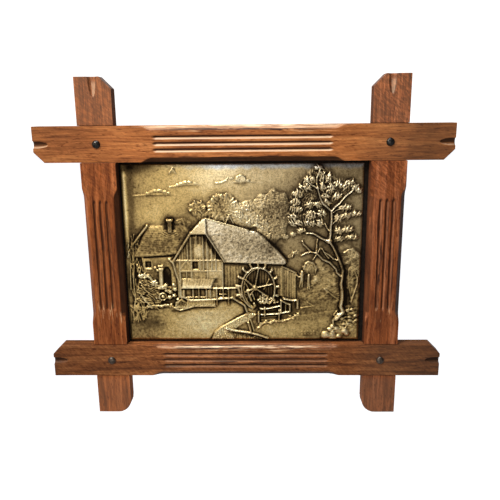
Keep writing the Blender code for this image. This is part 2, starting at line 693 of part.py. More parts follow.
def model_left_bank(bm):
    """The bushes, the barrel and the leaning post below the annex."""
    bush = [(10, 43), (35, 41.6), (35.6, 61), (30, 71), (16, 72), (9.6, 60)]
    add_patch(bm, bush, [0.3, 0.3, 0.34, 0.4, 0.4, 0.3])
    add_leaves(bm, 22, 56, 9.5, 10.5, 9, 0.5, 3.2, 0.62, 0.34)
    add_limb(bm, [(15.6, 72), (22, 76.6), (29.6, 74), (33.6, 65), (36, 60.5)], 3.2, 2.2, 0.62, 0.5)
    add_hoop(bm, 38.4, 50.7, 4.4, 4.4, 1.7, 0.62, 10)
    add_bar(bm, (37.4, 60), (37.4, 81.5), 4.4, 0.56)
    add_limb(bm, [(46.7, 92), (51, 88.4), (53.2, 78.6), (56.7, 66.4), (57.2, 52)], 3.4, 1.8, 0.66, 0.6)
    add_leaves(bm, 45.5, 57.5, 6, 5, 4, 1.4, 2.6, 0.46)
    add_limb(bm, [(8.4, 46), (7.4, 68), (9.4, 92), (7.6, 116)], 2.4, 1.4, 0.42, 0.32)
    add_limb(bm, [(4, 60), (5, 96), (10.5, 119)], 1.8, 1.3, 0.36, 0.3)
    for u, lean in ((7, -2.4), (10, -0.6), (14.5, 0.8), (18, 1.8)):
        add_limb(bm, [(u, 23), (u + lean, 33), (u + 1.6 * lean, 41.5)], 2.8, 0.9, 0.42, 0.36)
    for k in range(5):
        blade = [(53.4 + 2.6 * k, 37.5), (54.6 + 2.2 * k, 44.5 - 0.8 * abs(k - 1))]
        add_limb(bm, blade, 2.4, 1.0, 0.6, 0.5)


def model_tree(bm):
    """The tall tree at the right, from its roots to its upper limbs."""
    fork, knot, crotch = (230.2, 71.5), (215.6, 111), (217.2, 142.5)
    trunk = [(224.6, 25), (231.4, 31), (229.6, 38.6), (231, 50), (229.4, 63), fork]
    add_limb(bm, trunk, 6.4, 4.2, 0.96, 0.92)
    add_limb(bm, [(222.6, 15), (221.6, 22.6), (226.6, 30.4)], 2.4, 3.6, 0.46, 0.8)
    add_limb(bm, [fork, (230.8, 79), (226.6, 90), (222.6, 99.6), knot], 4.0, 3.4, 0.92, 0.94)
    add_limb(bm, [knot, (217, 124.6), (217.6, 134), crotch], 3.6, 3.0, 0.94, 0.84)
    low_limb = [fork, (223.9, 80), (217, 87.6), (209.4, 90.9), (203, 97.7), (190.7, 97.9), (186.4, 95)]
    add_limb(bm, low_limb, 3.2, 1.4, 0.86, 0.62)
    right_limb = [crotch, (223, 148.4), (228.4, 154.6), (232.6, 159.4), (238, 163.2)]
    add_limb(bm, right_limb, 2.6, 1.4, 0.8, 0.6)
    left_limb = [crotch, (209.4, 149.6), (206, 155.6), (203, 165.4), (196.4, 169.8), (191, 174.4)]
    add_limb(bm, left_limb, 2.6, 1.4, 0.8, 0.6)
    add_limb(bm, [(203, 166), (201.6, 175), (205, 185.6)], 1.9, 1.2, 0.64, 0.54)
    add_limb(bm, [knot, (207, 114), (201, 118.2), (191.6, 119.4)], 2.2, 1.3, 0.8, 0.56)
    add_limb(bm, [(203, 98), (202.6, 107), (203.4, 112)], 1.8, 1.2, 0.66, 0.56)
    add_limb(bm, [(196.6, 99), (189.4, 106.6), (187.8, 110.6)], 1.7, 1.1, 0.62, 0.52)
    add_limb(bm, [(226.4, 90), (217, 95), (210.6, 99)], 2.0, 1.2, 0.7, 0.56)
    add_mound(bm, *knot, 3.4, 3.4, 1.0, 7)
    for u, v, spread_u, spread_v, count, turn in (
        (194.5, 172.6, 5, 4.6, 4, 0.0), (183, 160.5, 5, 5.4, 4, 1.0), (181.6, 146, 5, 6, 4, 2.0),
        (179.6, 132, 6, 4.6, 4, 0.7), (195.8, 141, 4.6, 8.4, 5, 1.7), (205.6, 133, 4.2, 6.6, 4, 2.4),
        (207, 160, 4.6, 8.6, 5, 0.3), (215.4, 170, 5.4, 7, 4, 1.2), (223.4, 160, 4.4, 6, 3, 2.2),
        (235.4, 170.4, 5.6, 4.4, 4, 0.9), (244.2, 165, 2.6, 3.2, 2, 1.9), (232.4, 146, 5.6, 3, 3, 2.8),
        (226.4, 134.6, 5, 4.4, 4, 0.2), (240.8, 138.8, 6.4, 2.6, 4, 1.1), (226, 121.6, 4.6, 4, 3, 2.1),
        (237.8, 122.4, 5.4, 2.6, 3, 0.8), (226.6, 112.6, 4.2, 2.6, 3, 1.6), (241, 114.6, 5, 2, 3, 2.5),
    ):
        add_leaves(bm, u, v, spread_u, spread_v, count, turn)
    for u, v in ((178.6, 97.5), (185, 121), (206, 103.4), (203, 187), (229, 167.6)):
        add_tuft(bm, u, v, 3.2, 2.4, 0.5, u)


def model_far_bank(bm):
    """The two small figures, the fence, the boulder and the rough ground at the right."""
    for u, head_v, foot_v, sway in ((187.4, 77.1, 60.7, -1.2), (194.6, 72.9, 58.5, 0.6)):
        add_limb(bm, [(u + sway, foot_v), (u, head_v - 9), (u, head_v - 2.2)], 2.6, 4.0, 0.5, 0.56)
        add_mound(bm, u + 0.4, head_v, 1.9, 2.1, 0.66, 5)
    add_limb(bm, [(187.4, 73), (183.2, 73.4)], 1.6, 1.2, 0.56, 0.5)
    add_limb(bm, [(189.6, 80), (191.8, 87.6), (197, 88.4), (202.6, 82), (202, 76)], 2.4, 2.0, 0.46, 0.4)
    add_limb(bm, [(237.2, 79), (237.6, 62), (240.2, 43)], 1.6, 1.2, 0.5, 0.42)
    add_limb(bm, [(243.6, 57), (248, 64), (246.6, 72), (243.6, 78)], 2.0, 1.2, 0.56, 0.46)
    add_limb(bm, [(231.4, 98), (236, 101.4), (241, 101.7)], 2.0, 1.2, 0.5, 0.4)
    add_limb(bm, [(211.6, 58.6), (219.6, 52), (227, 46)], 1.8, 1.6, 0.44, 0.4)
    add_limb(bm, [(187, 37), (194, 38.4), (201.6, 39.4)], 1.8, 1.0, 0.46, 0.38)
    add_mound(bm, 219, 6.6, 6.2, 5.4, 0.6)
    add_limb(bm, [(222, 12.4), (230, 13.2), (237, 15.6), (236.4, 22)], 2.4, 1.4, 0.46, 0.38)

    def one_hump(hump_u, hump_v, k):
        add_tuft(bm, hump_u, hump_v, 3.0, 2.3, 0.42 + 0.05 * (k % 4), 0.9 * k, 0.2)
    add_scatter(one_hump, 238, 30, 7.5, 8, 4, 0.5)
    add_scatter(one_hump, 196, 53, 10, 3.6, 4, 1.5)
    add_scatter(one_hump, 241.6, 84, 5, 12, 3, 0.9)


def model_sky(bm):
    """The long clouds above the roofs."""
    streaks = (
        ([(13, 160), (33, 161.4), (56, 161.2)], 2.0, 0.2),
        ([(52, 169), (67, 171.6), (82, 171)], 2.4, 0.22),
        ([(98.6, 172.2), (108.6, 174.4), (116, 178.6), (124, 181.4), (131, 177.6), (145, 173)], 2.6, 0.28),
        ([(50.8, 183), (54, 188), (57.4, 182.4)], 1.8, 0.2),
    )
    for points, width, height in streaks:
        add_limb(bm, points, width, 0.6 * width, height, 0.8 * height)
    for u, v in ((29.6, 163), (37, 165), (44.6, 164), (63, 172.4), (70, 174), (77, 173)):
        add_mound(bm, u, v, 4.4, 2.6, 0.2, 6, u)
    add_mound(bm, 124, 175.6, 7, 4.6, 0.24)


plaque_bm = bmesh.new()
half_width, half_height = plaque_width / 2, plaque_height / 2
add_block(plaque_bm, (-half_width, 0.0, -half_height), (half_width, PLAQUE_THICKNESS, half_height))
front_edges = [edge for edge in plaque_bm.edges if all(vert.co.y < 1e-6 for vert in edge.verts)]
bmesh.ops.bevel(
    plaque_bm, geom=front_edges, offset=PLAQUE_EDGE_ROUND, segments=3, profile=0.5, affect="EDGES",
)
plaque = add_object("relief_plaque", plaque_bm, pewter, opening)
plaque.location = (
    (PLAQUE_GAP_LEFT - PLAQUE_GAP_RIGHT) / 2,
    plaque_back - PLAQUE_THICKNESS,
    (PLAQUE_GAP_BOTTOM - PLAQUE_GAP_TOP) / 2,
)

stages = (
    ("relief_masses", "UNION", (model_ground, model_annex, model_mill)),
    ("relief_openings", "DIFFERENCE", (model_openings,)),
    ("relief_details", "UNION", (
        model_timbers, model_wheel, model_bridge, model_ramp, model_left_bank,
        model_tree, model_far_bank, model_sky,
    )),
)
for name, operation, makers in stages:
    stage_bm = bmesh.new()
    for model_part in makers:
        model_part(stage_bm)
    combine(plaque, add_cutter(name, stage_bm, plaque), operation, crossing_bodies=True)
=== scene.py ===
"""A relief plaque of a country watermill in its lapped oak frame, as it hangs on a wall."""

import math

import bpy
import numpy as np
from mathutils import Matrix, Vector


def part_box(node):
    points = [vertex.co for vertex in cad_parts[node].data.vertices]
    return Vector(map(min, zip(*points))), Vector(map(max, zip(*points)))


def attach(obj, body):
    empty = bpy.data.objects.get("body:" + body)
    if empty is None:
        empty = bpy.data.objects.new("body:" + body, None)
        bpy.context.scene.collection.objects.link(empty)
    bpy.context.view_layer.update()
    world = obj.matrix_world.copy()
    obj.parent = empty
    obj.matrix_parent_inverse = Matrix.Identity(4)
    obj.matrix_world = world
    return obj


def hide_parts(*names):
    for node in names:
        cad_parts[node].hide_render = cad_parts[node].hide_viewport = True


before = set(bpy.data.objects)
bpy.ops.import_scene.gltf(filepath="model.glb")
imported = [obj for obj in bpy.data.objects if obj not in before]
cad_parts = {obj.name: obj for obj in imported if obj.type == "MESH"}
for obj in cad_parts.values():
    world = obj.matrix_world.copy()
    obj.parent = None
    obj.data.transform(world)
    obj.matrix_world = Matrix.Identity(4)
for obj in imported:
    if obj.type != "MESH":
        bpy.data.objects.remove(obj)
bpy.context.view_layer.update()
bpy.ops.object.select_all(action="DESELECT")


# Oak members. The frame is four lengths of planed oak strip, half-lapped and nailed at
# the crossings. Their ends, flutes and chamfers are cut by hand with a gouge and a
# chisel, so the arrises are soft and the faces waver a little.
WOOD_VOXEL = 0.00050
WOOD_TRIANGLES = 90000
WAVER_HEIGHT = 0.00012
WHITE, EVENLY = (1.0, 1.0, 1.0), (1.0, 1.0, 1.0)


def select_only(piece):
    """Make one object the selected and active one."""
    bpy.ops.object.select_all(action="DESELECT")
    piece.select_set(True)
    bpy.context.view_layer.objects.active = piece


def apply_modifier(piece, kind, **settings):
    """Add a modifier, set it up and apply it."""
    select_only(piece)
    modifier = piece.modifiers.new(kind.lower(), kind)
    for name, value in settings.items():
        setattr(modifier, name, value)
    bpy.ops.object.modifier_apply(modifier=modifier.name)


def thin_to(piece, triangles):
    """Collapse edges until the piece has about this many triangles."""
    piece.data.calc_loop_triangles()
    ratio = triangles / len(piece.data.loop_triangles)
    if ratio < 1:
        apply_modifier(piece, "DECIMATE", ratio=ratio)


def read_vectors(items, kind):
    """Return a vector of each item, such as a point's place or its normal, as an array."""
    vectors = np.zeros(len(items) * 3, np.float32)
    items.foreach_get(kind, vectors)
    return vectors.reshape(-1, 3)


def fade(value):
    """Ease a value from 0 to 1."""
    value = np.clip(value, 0, 1)
    return value * value * (3 - 2 * value)


def add_numbers(mesh, name, numbers):
    """Store one number for each point of a mesh, for its material to read."""
    attribute = mesh.attributes.new(name, "FLOAT", "POINT")
    attribute.data.foreach_set("value", np.asarray(numbers, np.float32))


def carve_member(node, name, along):
    """Work a finished oak member from the sawn one: soft arrises and a hand-planed face."""
    member = bpy.data.objects.new(name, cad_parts[node].data.copy())
    member.data.name = name
    bpy.context.scene.collection.objects.link(member)
    member.data.materials.clear()
    select_only(member)
    bpy.ops.object.mode_set(mode="EDIT")
    bpy.ops.mesh.select_all(action="SELECT")
    bpy.ops.mesh.remove_doubles(threshold=1e-6)
    bpy.ops.object.mode_set(mode="OBJECT")
    apply_modifier(member, "REMESH", mode="VOXEL", voxel_size=WOOD_VOXEL, adaptivity=0.0)
    apply_modifier(member, "SMOOTH", factor=0.5, iterations=3)
    thin_to(member, WOOD_TRIANGLES)
    points = read_vectors(member.data.vertices, "co")
    phase = {"x": points[:, 0], "z": points[:, 2]}
    length, across = phase[along], phase["z" if along == "x" else "x"]
    waver = np.sin(length * 46 + across * 90) + 0.6 * np.sin(length * 117 - across * 210 + 1.3)
    waver += 0.5 * np.sin(length * 23 + 2.1)
    front_y = points[:, 1].min()
    share = np.clip((-0.001 - points[:, 1]) / (-0.001 - front_y), 0, 1)
    points[:, 1] += WAVER_HEIGHT * share * (1.2 + 0.5 * waver)
    member.data.vertices.foreach_set("co", points.ravel())
    member.data.update()
    member.data.shade_smooth()
    member.data.set_sharp_from_angle(angle=math.radians(60))
    return member


def link(tree, source, target):
    """Join an output socket to an input socket."""
    tree.links.new(source, target)


def add_node(tree, kind, **settings):
    """Add a node and set its properties and named inputs."""
    node = tree.nodes.new(kind)
    for name, value in settings.items():
        if name in node.inputs:
            node.inputs[name].default_value = value
        else:
            setattr(node, name, value)
    return node


def add_ramp(tree, source, stops):
    """Colour a value by a ramp of (position, colour) stops."""
    ramp = tree.nodes.new("ShaderNodeValToRGB")
    while len(ramp.color_ramp.elements) < len(stops):
        ramp.color_ramp.elements.new(1.0)
    for element, (position, colour) in zip(ramp.color_ramp.elements, stops):
        element.position = position
        element.color = (*colour, 1.0) if len(colour) == 3 else (colour[0],) * 3 + (1.0,)
    link(tree, source, ramp.inputs["Fac"])
    return ramp.outputs["Color"]


def mix_colours(tree, blend, factor, first, second):
    """Blend two colours; a socket or a value may stand for each."""
    mix = add_node(tree, "ShaderNodeMix", data_type="RGBA", blend_type=blend)
    for socket, given in ((mix.inputs["Factor"], factor), (mix.inputs[6], first), (mix.inputs[7], second)):
        if isinstance(given, bpy.types.NodeSocket):
            link(tree, given, socket)
        elif isinstance(given, (int, float)):
            socket.default_value = given
        else:
            socket.default_value = (*given, 1.0)
    return mix.outputs[2]


def add_noise(tree, coordinates, scale, stretch, detail=4.0, roughness=0.55, distortion=0.0, offset=0.0):
    """Sample a noise on coordinates that are stretched along the axes."""
    mapping = add_node(tree, "ShaderNodeMapping", Scale=stretch)
    mapping.inputs["Location"].default_value = (offset, offset * 0.7, offset * 0.3)
    link(tree, coordinates, mapping.inputs["Vector"])
    settings = {"Scale": scale, "Detail": detail, "Roughness": roughness, "Distortion": distortion}
    noise = add_node(tree, "ShaderNodeTexNoise", **settings)
    link(tree, mapping.outputs["Vector"], noise.inputs["Vector"])
    return noise.outputs["Fac"]


def start_material(name, roughness, metallic):
    """Return a material, its tree, its shader and its object coordinates."""
    material = bpy.data.materials.new(name)
    material.use_nodes = True
    tree = material.node_tree
    shader = tree.nodes["Principled BSDF"]
    shader.inputs["Roughness"].default_value = roughness
    shader.inputs["Metallic"].default_value = metallic
    coordinates = tree.nodes.new("ShaderNodeTexCoord").outputs["Object"]
    return material, tree, shader, coordinates


def add_bump(tree, shader, strength, distance, height, after=None):
    """Add a bump to the shader, or on top of an earlier one."""
    bump = add_node(tree, "ShaderNodeBump", Strength=strength, Distance=distance)
    link(tree, height, bump.inputs["Height"])
    if after:
        link(tree, after, bump.inputs["Normal"])
    link(tree, bump.outputs["Normal"], shader.inputs["Normal"])
    return bump.outputs["Normal"]


def add_math(tree, operation, first, second=0.0):
    """Combine two numbers; a socket or a value may stand for each."""
    step = add_node(tree, "ShaderNodeMath", operation=operation)
    for socket, given in zip(step.inputs, (first, second)):
        if isinstance(given, bpy.types.NodeSocket):
            link(tree, given, socket)
        else:
            socket.default_value = given
    return step.outputs[0]


def add_band(tree, value, centre, half_width):
    """Return a mask that is 1 near a value and eases to 0 at a distance from it."""
    ease = add_node(tree, "ShaderNodeMapRange", **{"From Min": half_width, "From Max": 0.45 * half_width})
    offset = add_math(tree, "SUBTRACT", value, centre)
    link(tree, add_math(tree, "ABSOLUTE", offset), ease.inputs["Value"])
    return ease.outputs["Result"]


def read_numbers(tree, name):
    """Return the numbers that are stored under this name at a mesh's points."""
    return add_node(tree, "ShaderNodeAttribute", attribute_name=name).outputs["Fac"]


def finish_oak(name, along, dark, middle, light, fleck, swirl, seed, streaks):
    """Stained and waxed oak: long grain, open pores, ray flecks and streaks along an arris, with painted
    shade and highlights.
    """
    material, tree, shader, place = start_material(name, 0.46, 0.0)
    shader.inputs["Specular IOR Level"].default_value = 0.16
    long_way = {"x": (1.0, 15.0, 15.0), "z": (15.0, 15.0, 1.0)}[along]
    pore_way = {"x": (1.0, 6.0, 6.0), "z": (6.0, 6.0, 1.0)}[along]
    figure = add_noise(tree, place, 11.0, long_way, 4.0, 0.55, 0.9, seed)
    grain = add_noise(tree, place, 48.0, long_way, 4.0, 0.6, swirl, seed + 3)
    pores = add_noise(tree, place, 150.0, pore_way, 2.0, 0.5, 0.1, seed + 7)
    turned = add_node(tree, "ShaderNodeMapping", Rotation=(0.0, -0.75, 0.0))
    link(tree, place, turned.inputs["Vector"])
    flecks = add_noise(tree, turned.outputs["Vector"], 190.0, (1.0, 3.0, 3.6), 1.0, 0.5, 0.4, seed + 5)
    blotches = add_noise(tree, place, 22.0, EVENLY, 3.0, 0.5, 0.3, seed + 11)
    if along == "z":
        fleck = add_math(tree, "MULTIPLY", read_numbers(tree, "flecked"), fleck)
    colour = add_ramp(tree, figure, [(0.34, dark), (0.5, middle), (0.66, light)])
    for source, amount, stops in (
        (grain, 0.8, [(0.36, (0.56, 0.47, 0.4)), (0.52, WHITE), (0.66, (1.25, 1.2, 1.15))]),
        (pores, 0.85, [(0.31, (0.36, 0.26, 0.2)), (0.4, WHITE)]),
        (flecks, fleck, [(0.4, (0.64, 0.64, 0.66)), (0.5, WHITE), (0.6, (1.55, 1.6, 1.7))]),
        (blotches, 0.8, [(0.35, (0.86, 0.83, 0.82)), (0.62, (1.08, 1.06, 1.04))]),
    ):
        colour = mix_colours(tree, "MULTIPLY", amount, colour, add_ramp(tree, source, stops))
    colour = mix_colours(tree, "MULTIPLY", 1.0, colour, read_numbers(tree, "tone"))
    # Mixed in by each point's numbers: pale wear with a painted highlight where cuts face the light, and dark
    # waxing with painted shade where they face away.
    colour = mix_colours(tree, "MIX", read_numbers(tree, "wear_and_painted_light"), colour, (1.0, 0.74, 0.48))
    colour = mix_colours(tree, "MIX", read_numbers(tree, "wax_and_painted_shade"), colour, (0.026, 0.010, 0.004))
    split = tree.nodes.new("ShaderNodeSeparateXYZ")
    link(tree, place, split.inputs["Vector"])
    length = split.outputs["X" if along == "x" else "Z"]
    across = split.outputs["Z" if along == "x" else "X"]
    wander = add_math(tree, "MULTIPLY", add_math(tree, "SUBTRACT", figure, 0.5), 0.005)
    across = add_math(tree, "ADD", across, wander)
    in_front = add_math(tree, "LESS_THAN", split.outputs["Y"], STREAK_DEPTH)
    # Streaks along the arrises and over the faces: stain and wear, with painted shadow lines and painted
    # highlights.
    for k, (centre, half_width, middle_length, reach, least, most, shade) in enumerate(streaks):
        broken = add_noise(tree, place, 42.0, long_way, 4.0, 0.6, 0.5, seed + 17 + 3 * k)
        mask = add_ramp(tree, broken, [(least, (0.0,)), (most, (1.0,))])
        mask = add_math(tree, "MULTIPLY", mask, add_band(tree, across, centre, half_width))
        mask = add_math(tree, "MULTIPLY", mask, add_band(tree, length, middle_length, reach))
        mask = add_math(tree, "MULTIPLY", mask, in_front)
        colour = mix_colours(tree, "MIX", mask, colour, shade)
    link(tree, colour, shader.inputs["Base Color"])
    shine = add_ramp(tree, grain, [(0.3, (0.56,)), (0.7, (0.4,))])
    link(tree, add_math(tree, "MAXIMUM", read_numbers(tree, "dull"), shine), shader.inputs["Roughness"])
    normal = add_bump(tree, shader, 0.5, 0.0003, pores)
    add_bump(tree, shader, 0.4, 0.0004, grain, normal)
    return material


# Cuts are read from the depth of each point below the face and the way that it faces. The sides away from the
# light are darkened, as a waxed cut and as painted shade, and the sides towards it are made pale, as wear and
# as a painted highlight.
FACE_DEPTH = 0.00025
FLUTE_ZONE = 0.0112
FLUTE_FOOT = -0.1795
CHAMFER_ZONE = 0.0128
CUT_DEPTH = 0.0050
GOUGE_REACH = 0.0212
GOUGE_HALF_WIDTH = 0.0048
STREAK_DEPTH = -0.0095
STAIN_START, STAIN_END = 0.163, 0.196
OPENING_TOP, OPENING_FOOT = -0.018, -0.215
STILE_HEAD, STILE_FOOT = 0.012, -0.248

oak_tones = {
    "top_rail": ("x", (0.27, 0.084, 0.021), (0.43, 0.145, 0.038), (0.54, 0.205, 0.060), 0.15, 0.3, 0.0),
    "bottom_rail": ("x", (0.13, 0.042, 0.012), (0.24, 0.078, 0.021), (0.35, 0.130, 0.040), 0.35, 1.6, 5.0),
    "left_stile": ("z", (0.15, 0.040, 0.009), (0.26, 0.070, 0.015), (0.37, 0.118, 0.034), 0.45, 0.3, 9.0),
    "right_stile": ("z", (0.15, 0.040, 0.011), (0.26, 0.072, 0.019), (0.36, 0.117, 0.042), 0.7, 0.3, 14.0),
}
wear_and_light_share = {"top_rail": 1.0, "bottom_rail": 0.12, "left_stile": 0.08, "right_stile": 0.12}
# Streak colours: cream wear with a painted highlight on the chamfers, pale wear with a painted highlight
# beside the arrises, and umber that is stain over the faces and a painted shadow line along the arrises.
CREAM_WEAR_GLINT, PALE_WEAR_GLINT, UMBER_STAIN_SHADE = (0.95, 0.70, 0.44), (0.66, 0.36, 0.17), (0.045, 0.015, 0.006)
# A streak is its place across, half width, place along, reach, how broken it is, and colour.
oak_streaks = {
    "top_rail": (
        (0.0170, 0.0021, 0, 0.112, 0.44, 0.56, CREAM_WEAR_GLINT), (0.0136, 0.0011, 0, 0.110, 0.40, 0.46, UMBER_STAIN_SHADE),
        (0.0118, 0.0010, 0, 0.100, 0.52, 0.62, PALE_WEAR_GLINT), (-0.0132, 0.0010, 0, 0.100, 0.44, 0.54, UMBER_STAIN_SHADE),
        (0.0030, 0.0120, -0.150, 0.030, 0.66, 0.70, UMBER_STAIN_SHADE),
    ),
    "bottom_rail": (
        (-0.2174, 0.0013, 0, 0.104, 0.42, 0.56, CREAM_WEAR_GLINT), (-0.2160, 0.0009, 0, 0.112, 0.44, 0.56, UMBER_STAIN_SHADE),
        (-0.2188, 0.0011, 0, 0.108, 0.42, 0.54, UMBER_STAIN_SHADE), (-0.2206, 0.0012, 0, 0.100, 0.50, 0.62, PALE_WEAR_GLINT),
        (-0.2320, 0.0140, 0, 0.200, 0.58, 0.68, UMBER_STAIN_SHADE),
    ),
    "left_stile": (
        (-0.1460, 0.0170, -0.116, 0.066, 0.55, 0.66, UMBER_STAIN_SHADE),
        (-0.1460, 0.0150, -0.178, 0.014, 0.58, 0.66, PALE_WEAR_GLINT),
        (-0.1310, 0.0030, -0.116, 0.072, 0.48, 0.60, UMBER_STAIN_SHADE),
        (-0.1330, 0.0010, -0.183, 0.008, 0.44, 0.56, PALE_WEAR_GLINT),
    ),
    "right_stile": (
        (0.1460, 0.0170, -0.116, 0.066, 0.52, 0.62, UMBER_STAIN_SHADE),
        (0.1460, 0.0150, -0.176, 0.014, 0.60, 0.68, PALE_WEAR_GLINT),
    ),
}
for node, (along, dark, middle, light, fleck, swirl, seed) in oak_tones.items():
    member = carve_member(node, node + "_oak", along)
    low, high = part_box(node)
    points = read_vectors(member.data.vertices, "co")
    normals = read_vectors(member.data.vertex_normals, "vector")
    depth = points[:, 1] - low.y - FACE_DEPTH
    length, width = (points[:, 0], points[:, 2]) if along == "x" else (points[:, 2], points[:, 0])
    middle_width = (low.z + high.z) / 2 if along == "x" else (low.x + high.x) / 2
    off = np.abs(width - middle_width)
    # How far each point faces the light from the upper left; this sets the painted shade and highlight in the
    # cuts.
    lit = 0.9 * normals[:, 2] - 0.5 * normals[:, 0]
    facing_front = normals[:, 1] < -0.2
    cut = fade(depth / 0.0008) * (depth < CUT_DEPTH) * facing_front
    cut = cut * ((off < FLUTE_ZONE) | (off > CHAMFER_ZONE))
    wax_and_painted_shade = cut * np.clip(0.2 + 0.22 * wear_and_light_share[node] - 2.2 * lit, 0, 0.95)
    wear_and_painted_light = cut * np.clip(2.0 * lit - 0.12, 0, 0.85) * wear_and_light_share[node]
    on_chamfer = off > CHAMFER_ZONE
    wax_and_painted_shade = np.where(on_chamfer, 0.9 * wax_and_painted_shade, wax_and_painted_shade)
    hollow = (off < GOUGE_HALF_WIDTH) & (depth > 0.0002) & (depth < CUT_DEPTH) & facing_front
    wear_and_painted_light = np.where(on_chamfer, 0.2 * wear_and_painted_light, wear_and_painted_light)
    if along == "x":
        from_end = np.minimum(length - low.x, high.x - length)
        gouge = hollow & (from_end < GOUGE_REACH)
        # The gouges at the rails' ends: painted shade on the side away from the light, and a little pale wear
        # with a painted highlight on the other.
        wax_and_painted_shade = np.where(gouge, np.clip(0.85 - 1.5 * np.clip(lit, 0, 1), 0, 0.92), wax_and_painted_shade)
        wear_and_painted_light = np.where(gouge, np.clip(1.2 * lit - 0.5, 0, 0.3) * wear_and_light_share[node], wear_and_painted_light)
        tone = 1.0 - 0.34 * fade((np.abs(length) - 0.10) / 0.10) - 0.1 * fade((length - 0.09) / 0.04)
        slant = 0.25 * (width - middle_width)
        stain = fade((length - STAIN_START - slant) / 0.003) * fade((STAIN_END - length) / 0.012)
        tone -= 0.1 * stain * (node == "top_rail")
        wear_and_painted_light = np.maximum(wear_and_painted_light, 0.02 * fade((length - 0.1) / 0.05))
    else:
        gouge = hollow & (length > high.z - GOUGE_REACH)
        # The gouge at a stile's head: pale wood with a painted highlight on the side towards the light, and
        # painted shade on the other.
        facing = -normals[:, 0]
        strip = fade((facing + 0.35) / 0.3) * fade((high.z - 0.0018 - length) / 0.006) * fade(depth / 0.0012)
        wear_and_painted_light = np.where(gouge, 0.24 * strip, wear_and_painted_light)
        wax_and_painted_shade = np.where(gouge, 0.35 * fade((-0.3 - facing) / 0.4), wax_and_painted_shade)
        # The stiles' inner sides in the opening, and their sides above the middle, are darkened as painted
        # shade.
        inner_side = normals[:, 0] * np.sign(low.x) < -0.7
        inner_side = inner_side & (length < OPENING_TOP) & (length > OPENING_FOOT)
        wax_and_painted_shade = np.where(inner_side, 0.85 if node == "left_stile" else 0.5, wax_and_painted_shade)
        outer_top = (np.abs(normals[:, 0]) > 0.6) & (length > 0.0)
        wax_and_painted_shade = np.where(outer_top & (depth > 0.0004), 0.6, wax_and_painted_shade)
        flute_end = np.exp(-((length - FLUTE_FOOT) / 0.003) ** 2) * (off < FLUTE_ZONE) * cut
        wear_and_painted_light = np.maximum(wear_and_painted_light, 0.22 * flute_end)
        above, below = fade((length - STILE_HEAD) / 0.01), fade((STILE_FOOT - length) / 0.01)
        wear_and_painted_light = np.maximum(wear_and_painted_light, 0.046 * (above + below))
        tone = 1.0 + (0.1 * above - 0.2 * below if node == "right_stile" else 0.17 * below - 0.13 * above)
        add_numbers(member.data, "flecked", 0.25 + 0.75 * fade((length + 0.065) / 0.03))
    dull = np.abs(normals[:, 0] if along == "z" else normals[:, 2]) > 0.8
    for layer, numbers in (("dull", dull), ("wax_and_painted_shade", wax_and_painted_shade), ("wear_and_painted_light", wear_and_painted_light), ("tone", tone)):
        add_numbers(member.data, layer, numbers)
    oak = finish_oak(node + " oak", along, dark, middle, light, fleck, swirl, seed, oak_streaks[node])
    member.data.materials.append(oak)
    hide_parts(node)
    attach(member, "root")


# Nails. Four iron nails with smooth domed heads, bronzed nearly black, are driven
# through the middle of each lap. The lower two have gone dull and a little brown.
NAIL_SEGMENTS, NAIL_RINGS = 40, 24
SHANK_RADIUS, SHANK_SEGMENTS = 0.0012, 24


def finish_iron(name, dark, light, shines):
    """Iron bronzed nearly black, mottled a little lighter by a fine noise."""
    material, tree, shader, place = start_material(name, 0.3, 0.9)
    scale = add_noise(tree, place, 420.0, EVENLY, 4.0)
    colour = add_ramp(tree, scale, [(0.35, dark), (0.7, light)])
    link(tree, colour, shader.inputs["Base Color"])
    shine = add_ramp(tree, scale, [(0.3, (shines + 0.1,)), (0.7, (shines,))])
    link(tree, shine, shader.inputs["Roughness"])
    add_bump(tree, shader, 0.06, 0.0002, scale)
    return material


glossy_iron = finish_iron("bronzed iron", (0.018, 0.016, 0.014), (0.07, 0.063, 0.056), 0.2)
dulled_iron = finish_iron("dulled iron", (0.060, 0.042, 0.030), (0.17, 0.132, 0.102), 0.36)
for node in ("nail_top_left", "nail_top_right", "nail_bottom_left", "nail_bottom_right"):
    low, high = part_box(node)
    radius = (high.x - low.x) / 2
    centre_x, centre_z = (low.x + high.x) / 2, (low.z + high.z) / 2
    face_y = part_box("top_rail")[0].y
    head_height = face_y - low.y
    bpy.ops.mesh.primitive_uv_sphere_add(
        segments=NAIL_SEGMENTS, ring_count=NAIL_RINGS, radius=radius,
        location=(centre_x, face_y, centre_z), rotation=(math.pi / 2, 0, 0),
    )
    nail = bpy.context.object
    nail.name = node + "_iron"
    bpy.ops.object.transform_apply(location=True, rotation=True, scale=True)
    bpy.ops.object.mode_set(mode="EDIT")
    bpy.ops.mesh.select_all(action="SELECT")
    bpy.ops.mesh.bisect(
        plane_co=(0, face_y - 0.0002, 0), plane_no=(0, 1, 0), clear_outer=True, use_fill=True,
    )
    bpy.ops.mesh.select_all(action="SELECT")
    bpy.ops.transform.resize(value=(1, head_height / radius, 1), center_override=(centre_x, face_y, centre_z))
    bpy.ops.object.mode_set(mode="OBJECT")
    bpy.ops.mesh.primitive_cylinder_add(
        vertices=SHANK_SEGMENTS, radius=SHANK_RADIUS, depth=high.y - face_y, rotation=(math.pi / 2, 0, 0),
        location=(centre_x, (high.y + face_y) / 2 - 0.0001, centre_z),
    )
    bpy.ops.object.transform_apply(location=True, rotation=True, scale=True)
    nail.select_set(True)
    bpy.context.view_layer.objects.active = nail
    bpy.ops.object.join()
    nail.data.name = nail.name
    nail.data.shade_smooth()
    nail.data.set_sharp_from_angle(angle=math.radians(50))
    nail.data.materials.clear()
    nail.data.materials.append(glossy_iron if "top" in node else dulled_iron)
    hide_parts(node)
    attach(nail, "root")


